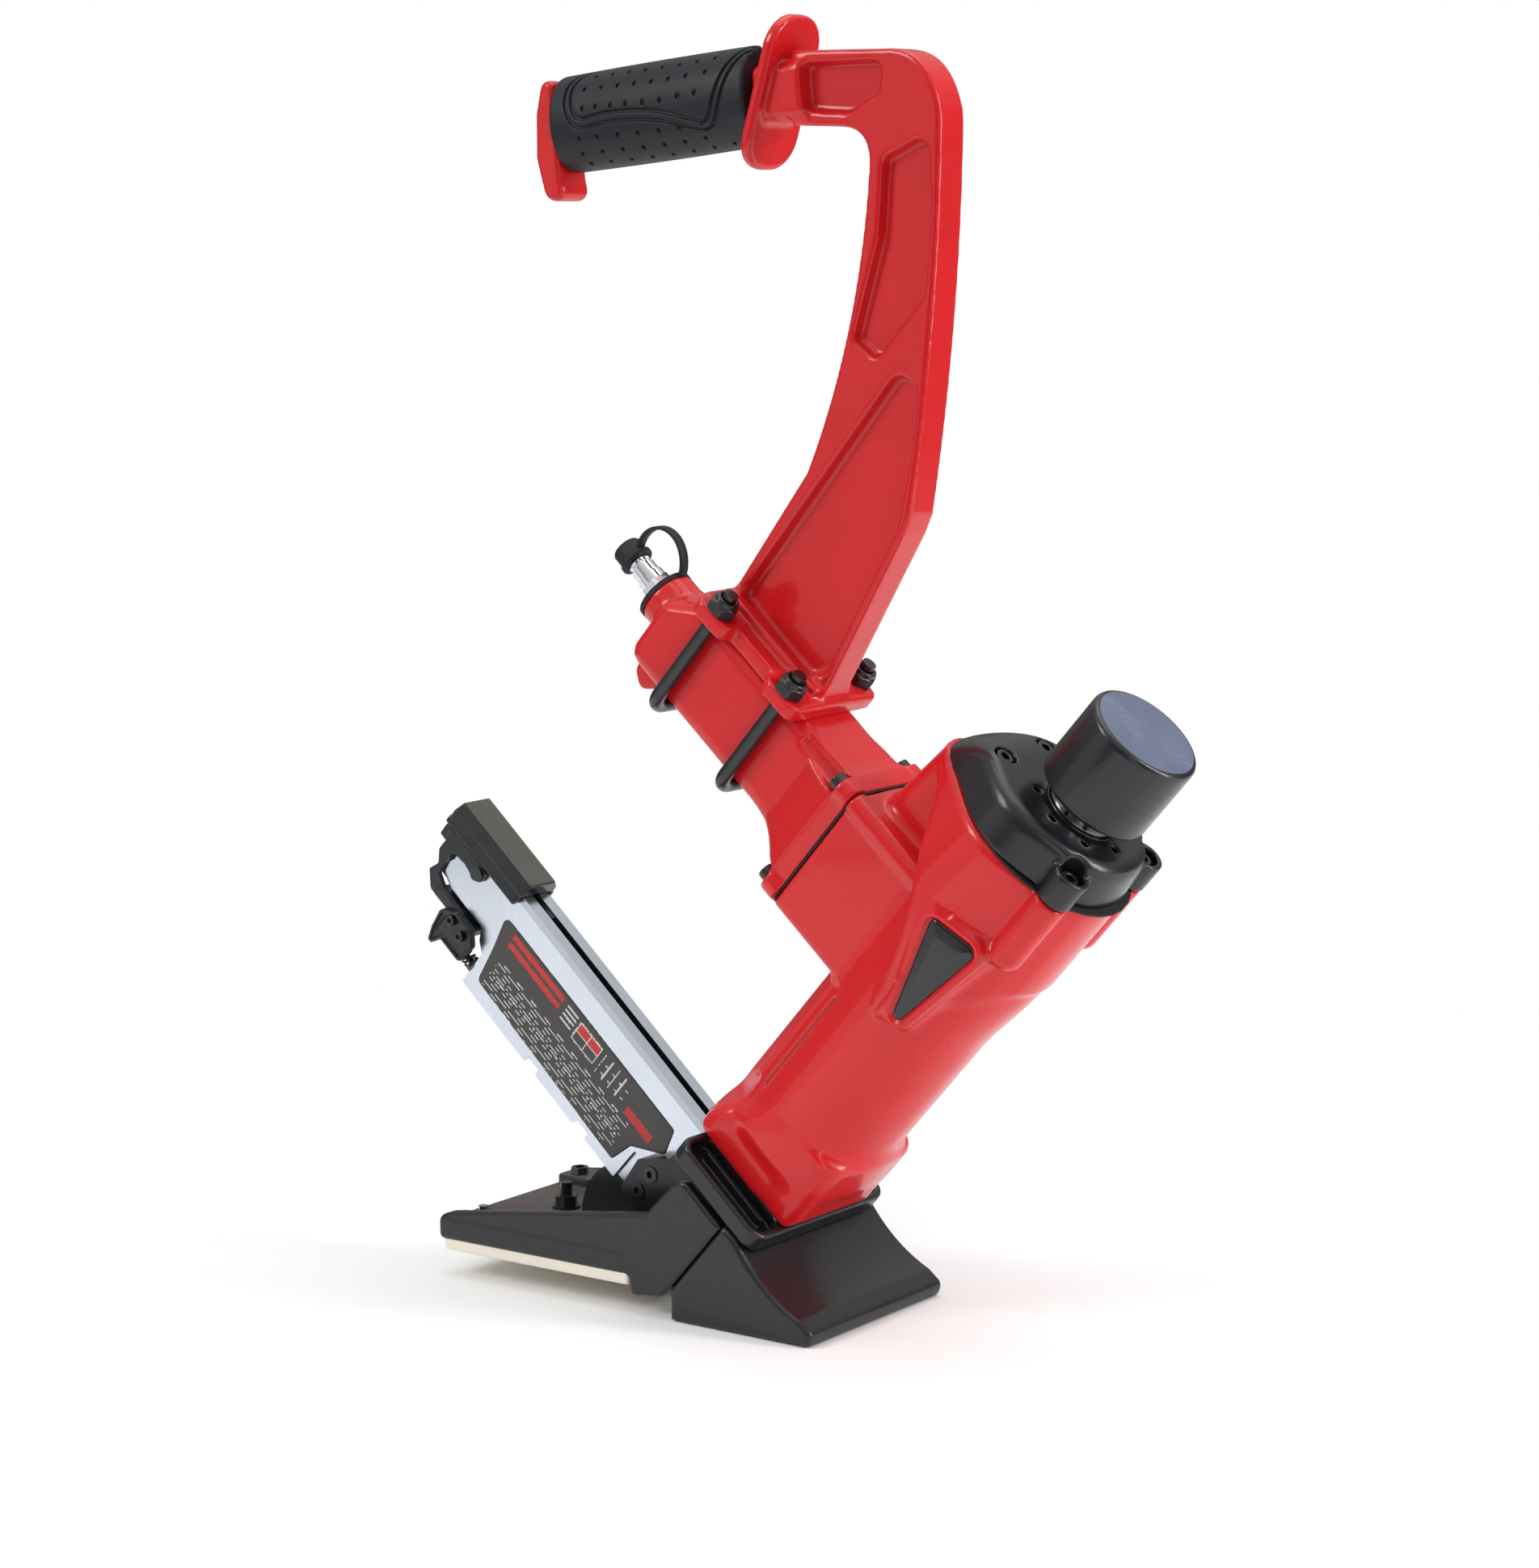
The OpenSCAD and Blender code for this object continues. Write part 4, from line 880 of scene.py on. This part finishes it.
LEVER = rounded([(48.2, 208.6, 3.6), (57, 208.6, 3.6), (57.5, 218, 0), (57.5, 242.5, 1), (50, 242.5, 1),
                 (49.5, 238, 0), (43.5, 238.5, 4), (37.5, 234, 2), (31, 236.5, 1.5), (23.8, 229.5, 2),
                 (24.2, 206, 0), (30.2, 206, 0), (30.8, 222.5, 3), (34.2, 230.5, 2), (42, 231.5, 3),
                 (48.4, 231, 2), (49.6, 222, 0), (48.6, 216, 0)], 4)
BRACKET = rounded([(12, 190.5, 3), (24, 190.5, 2), (29.6, 196, 3), (29.6, 208, 2), (24, 216.5, 3),
                   (13, 215, 3), (6, 212.5, 1), (6, 210, 0), (12, 207, 2)], 5)


def latch():
    f = Field((20, -15.5, 193), (60, 15.5, 246), 0.5)
    s, y, t = f.a, f.b, f.c
    flat = outline(s, t, LEVER)
    plates = extrude(flat, np.abs(y) - 12.5, 1.1, 0.35)
    back = extrude(rectangle(s - 26.75, t - 211, 2.85, 15, 0.6), y, 13.6, 0.4)
    bridge = extrude(rectangle(s - 53.75, t - 240.6, 3.75, 1.8, 0.5), y, 13.6, 0.4)
    shape = join(0.8, plates, np.minimum(back, bridge))
    shape = smax(shape, -(np.hypot(s - 52.5, t - 213) - 2.46), 0.2)
    place(f.mesh("latch_arm", shape, DRIVER, 1), "latch", "black_steel", ["latch_lever"])
    f = Field((4, -18, 188), (32, -3, 219), 0.42)
    s, y, t = f.a, f.b, f.c
    flat = outline(s, t, BRACKET)
    plate = extrude(flat, y + 14.7, 1.1, 0.4)
    rim = smax(extrude(flat, y + 15.5, 1.9, 0.5), -extrude(flat + 1.5, y + 17, 2.6, 0.3), 0.3)
    ear = extrude(rectangle(s - 15, y + 10, 9, 6, 2.5), t - 211.2, 1.2, 0.4)
    shape = join(0.8, plate, rim, ear)
    shape = smax(shape, -(np.hypot(s - 12, y + 8.5) - 2.2), 0.2)
    place(f.mesh("latch_ear", shape, DRIVER, 1), "latch", "black_steel", ["latch_bracket"])
    bolts = [socket_head("bolt", aim_y(a, -15.9, b, -1), 3.0, 5.6, 2.4, 2.5, 1.5) for a, b in ((24.5, 208), (22.5, 199))]
    place(joined("ear_bolts", bolts), "latch", "black_screw", ["bracket_screws"])


latch()


def coil(name, s, y, t0, t1, r, wire, turns, body, joint):
    steps = turns * 22
    path = []
    for i in range(steps + 1):
        k = i / steps
        # closed coils at both ends
        rise = k + 0.035 * math.sin(4 * math.pi * k) * -1
        g = 2 * math.pi * turns * k
        path.append((s + r * math.cos(g), y + r * math.sin(g), t0 + wire + (t1 - t0 - 2 * wire) * rise))
    obj = tube(name, path, wire, DRIVER, 8)
    place(obj, body, "black_screw", ["latch_spring"])
    return obj


spring = coil("latch_coil", 12, -8.5, 188.7, 210, 3.3, 0.6, 8, "tool", "latch_hinge")
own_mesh(spring)

RETURN_TURNS, RETURN_STEPS, RETURN_RADIUS = 7, 40, 30
return_path = []
for i in range(RETURN_TURNS * RETURN_STEPS + 1):
    g = 2 * math.pi * i / RETURN_STEPS
    return_path.append((215.3 + 32.9 * i / 280, RETURN_RADIUS * math.cos(g), RETURN_RADIUS * math.sin(g)))
return_spring = place(tube("return_coil", return_path, 1.2, DRIVER, 10), "tool", "steel", ["valve_spring"])
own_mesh(return_spring)


def label_tone(s, t):
    """0 for the dark ground, 1 for red bars and 2 for pale rules: a plain layout with nothing to read."""
    if 136 < t < 178 and (38 < s < 41 or 43 < s < 46):
        return 1
    if 34 < s < 45 and 104 < t < 122:
        frame_line = s < 34.6 or s > 44.4 or t < 104.6 or t > 121.4 or abs(s - 39.5) < 0.3 or abs(t - 113) < 0.3
        return 2 if frame_line else (1 if s > 39.5 else 0)
    if 31 < s < 36 and 56 < t < 76:
        return 1
    if 10 < s < 30 and 70 < t < 177 - max(0, s - 26):
        row, broken = int(s / 1.9), int(t / 1.6)
        return 2 if s / 1.9 - row < 0.3 and (broken * broken * 3 + row * row * 5 + broken * row) % 7 > 1 else 0
    if 36 < s < 46 and 124 < t < 133:
        return 2 if s / 2.6 % 1 < 0.4 else 0
    if 33 < s < 45 and 80 < t < 101:
        return 2 if t / 5.3 % 1 < 0.16 or (s / 5 % 1 < 0.12 and t / 5.3 % 1 < 0.5) else 0
    return 0


def label():
    line = rounded([(48.5, 188, 3), (30, 183.5, 3), (10, 180, 3), (8, 66, 2), (22, 62.5, 2), (35, 46, 2),
                    (48.5, 50, 2)], 5)
    f = Field((6, -12.2, 44), (50, -10.4, 190), 0.5)
    flat = outline(f.a, f.c, line)
    d = extrude(flat, f.b + 11.22, 0.24, 0.12)
    obj = f.mesh("label_sheet", d, DRIVER)
    for m in ("label", "label_red", "label_light"):
        obj.data.materials.append(MATS[m])
    inverse = DRIVER.inverted()
    for p in obj.data.polygons:
        q = inverse @ p.center
        if q.y < -11.3:
            p.material_index = label_tone(q.x, q.z)
    place(obj, "tool", "label", ["label_panel"])


label()

# ------------------------------------------------------------------ air plug's cap

seat = 225.9
cap_lathe = lathe("plug_cap", [(5.6, seat + 20.7), (8.0, seat + 20.7), (8.2, seat + 21.2), (8.2, seat + 22.8),
                               (7.6, seat + 23.4), (7.2, seat + 24.0), (7.2, seat + 29.4), (6.6, seat + 30.3),
                               (5.4, seat + 30.6), (0.0, seat + 30.6), (0.0, seat + 28.1), (5.6, seat + 28.1)],
                  aim_t(230, 0, 0), 64)
place(cap_lathe, "dust_cap", "rubber", ["dust_cap"])


STRAP_SECTION = [(0, -2.3), (0, 2.3), (0.35, 2.6), (1.25, 2.6), (1.6, 2.3), (1.6, -2.3), (1.25, -2.6),
                 (0.35, -2.6)]


def strap():
    """A flat rubber strap from the ring under the plug round to the cap."""
    bm = bmesh.new()
    rings = []
    centre = Vector((240.5, 0, 237.2))
    for i in range(41):
        g = math.radians(-93 + 217 * i / 40)
        d = Vector((math.cos(g), 0, math.sin(g)))
        grow = 13.5 + 0.9 * math.sin(2 * g)
        ring = []
        for a, b in STRAP_SECTION:
            ring.append(bm.verts.new(centre + d * (grow + a) + Vector((0, b, 0))))
        rings.append(ring)
    for a, b in zip(rings, rings[1:]):
        for k in range(8):
            bm.faces.new((a[k], a[(k + 1) % 8], b[(k + 1) % 8], b[k]))
    bm.faces.new(rings[0])
    bm.faces.new(rings[-1])
    mesh = bpy.data.meshes.new("cap_loop")
    bm.to_mesh(mesh)
    bm.free()
    mesh.transform(DRIVER)
    obj = finish_mesh("cap_loop", mesh)
    obj.data.materials.append(MATS["rubber"])
    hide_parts("cap_strap")
    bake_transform(obj)


strap()

# ------------------------------------------------------------------ carried-over CAD pieces

slots = {row["node"]: row["material_slot"] for row in frame["record"]["subparts"]}
for name, obj in node_object.items():
    obj.data.materials.clear()
    obj.data.materials.append(MATS[slots[name]])

# ------------------------------------------------------------------ stage, light and camera

bpy.ops.mesh.primitive_circle_add(vertices=128, radius=1.3, fill_type="NGON", location=(0, 0, -0.0003))
floor = bpy.context.object
floor.name = "floor"
floor.data.materials.append(material("floor", (0.93, 0.93, 0.93, 1), 0.75, specular=0.1,
                                     blotch=(0.6, 0.004), grain=()))
floor_tree = floor.data.materials[0].node_tree
fade = floor_tree.nodes.new("ShaderNodeTexGradient")
fade.gradient_type = "SPHERICAL"
place_at = floor_tree.nodes.new("ShaderNodeTexCoord")
shrink = floor_tree.nodes.new("ShaderNodeMapping")
shrink.inputs["Scale"].default_value = (1.25, 1.25, 1.25)
soft = floor_tree.nodes.new("ShaderNodeMapRange")
soft.interpolation_type = "SMOOTHSTEP"
soft.inputs["From Max"].default_value = 0.65
ray = floor_tree.nodes.new("ShaderNodeLightPath")
solid = floor_tree.nodes.new("ShaderNodeMath")
solid.operation = "SUBTRACT"
solid.inputs[0].default_value = 1.0
keep = floor_tree.nodes.new("ShaderNodeMath")
keep.operation = "MAXIMUM"
clear = floor_tree.nodes.new("ShaderNodeBsdfTransparent")
blend = floor_tree.nodes.new("ShaderNodeMixShader")
floor_tree.links.new(place_at.outputs["Object"], shrink.inputs["Vector"])
floor_tree.links.new(shrink.outputs["Vector"], fade.inputs["Vector"])
floor_tree.links.new(fade.outputs["Fac"], soft.inputs["Value"])
floor_tree.links.new(ray.outputs["Is Camera Ray"], solid.inputs[1])
floor_tree.links.new(solid.outputs[0], keep.inputs[0])
floor_tree.links.new(soft.outputs["Result"], keep.inputs[1])
floor_tree.links.new(keep.outputs[0], blend.inputs["Fac"])
floor_tree.links.new(clear.outputs["BSDF"], blend.inputs[1])
floor_tree.links.new(floor_tree.nodes["Principled BSDF"].outputs["BSDF"], blend.inputs[2])
floor_tree.links.new(blend.outputs["Shader"], floor_tree.nodes["Material Output"].inputs["Surface"])

world = bpy.data.worlds.new("studio")
bpy.context.scene.world = world
world.use_nodes = True
tree = world.node_tree
room = tree.nodes["Background"]
direction = tree.nodes.new("ShaderNodeTexCoord")
split = tree.nodes.new("ShaderNodeSeparateXYZ")
rise = tree.nodes.new("ShaderNodeMapRange")
rise.inputs["From Min"].default_value = 0.15
rise.inputs["From Max"].default_value = 0.95
rise.inputs["To Min"].default_value = 0.16
rise.inputs["To Max"].default_value = 0.95
tree.links.new(direction.outputs["Generated"], split.inputs["Vector"])
tree.links.new(split.outputs["Z"], rise.inputs["Value"])
tree.links.new(rise.outputs["Result"], room.inputs["Strength"])
backdrop = tree.nodes.new("ShaderNodeBackground")
backdrop.inputs["Strength"].default_value = 1.0
seen = tree.nodes.new("ShaderNodeLightPath")
either = tree.nodes.new("ShaderNodeMixShader")
tree.links.new(seen.outputs["Is Camera Ray"], either.inputs["Fac"])
tree.links.new(room.outputs["Background"], either.inputs[1])
tree.links.new(backdrop.outputs["Background"], either.inputs[2])
for node in (room, backdrop):
    node.inputs["Color"].default_value = (1.0, 1.0, 1.0, 1)
tree.links.new(either.outputs["Shader"], tree.nodes["World Output"].inputs["Surface"])


def area_light(name, place_at, target, size, power):
    data = bpy.data.lights.new(name, "AREA")
    data.shape = "RECTANGLE"
    data.size, data.size_y = size
    data.energy = power
    obj = bpy.data.objects.new(name, data)
    bpy.context.scene.collection.objects.link(obj)
    obj.location = place_at
    obj.rotation_euler = (Vector(target) - Vector(place_at)).to_track_quat("-Z", "Y").to_euler()
    obj.visible_camera = False


area_light("key", (-0.9, -1.5, 1.5), (0, 0, 0.28), (0.8, 0.8), 16)
area_light("card", (-1.7, -1.9, 0.35), (0, 0, 0.25), (1.5, 1.1), 3.2)
area_light("fill", (1.9, -1.5, 0.5), (0, 0, 0.3), (0.4, 1.2), 3.5)
area_light("edge", (1.5, 0.5, 0.75), (0, 0, 0.3), (0.3, 1.3), 17)
area_light("overhead", (0.1, 0.3, 2.4), (0, 0, 0.3), (1.8, 1.8), 15)

YAW, PITCH, ROLL = math.radians(37.6), math.radians(8.2), math.radians(-1.2)
right = Vector((math.cos(YAW), math.sin(YAW), 0))
look = Vector((-math.sin(YAW) * math.cos(PITCH), math.cos(YAW) * math.cos(PITCH), -math.sin(PITCH)))
above = right.cross(look)
axis_x = math.cos(ROLL) * right + math.sin(ROLL) * above
axis_y = -math.sin(ROLL) * right + math.cos(ROLL) * above
camera_data = bpy.data.cameras.new("camera")
camera_data.sensor_fit = "VERTICAL"
camera_data.sensor_height = 36.0
camera_data.lens = 36.0 * 4500 / 1940
camera = bpy.data.objects.new("camera", camera_data)
bpy.context.scene.collection.objects.link(camera)
rotation = Matrix((axis_x, axis_y, -look)).transposed()
camera.matrix_world = Matrix.Translation((0.9909, -1.3070, 0.4827)) @ rotation.to_4x4()
bpy.context.scene.camera = camera
bpy.context.scene.view_settings.view_transform = "Standard"
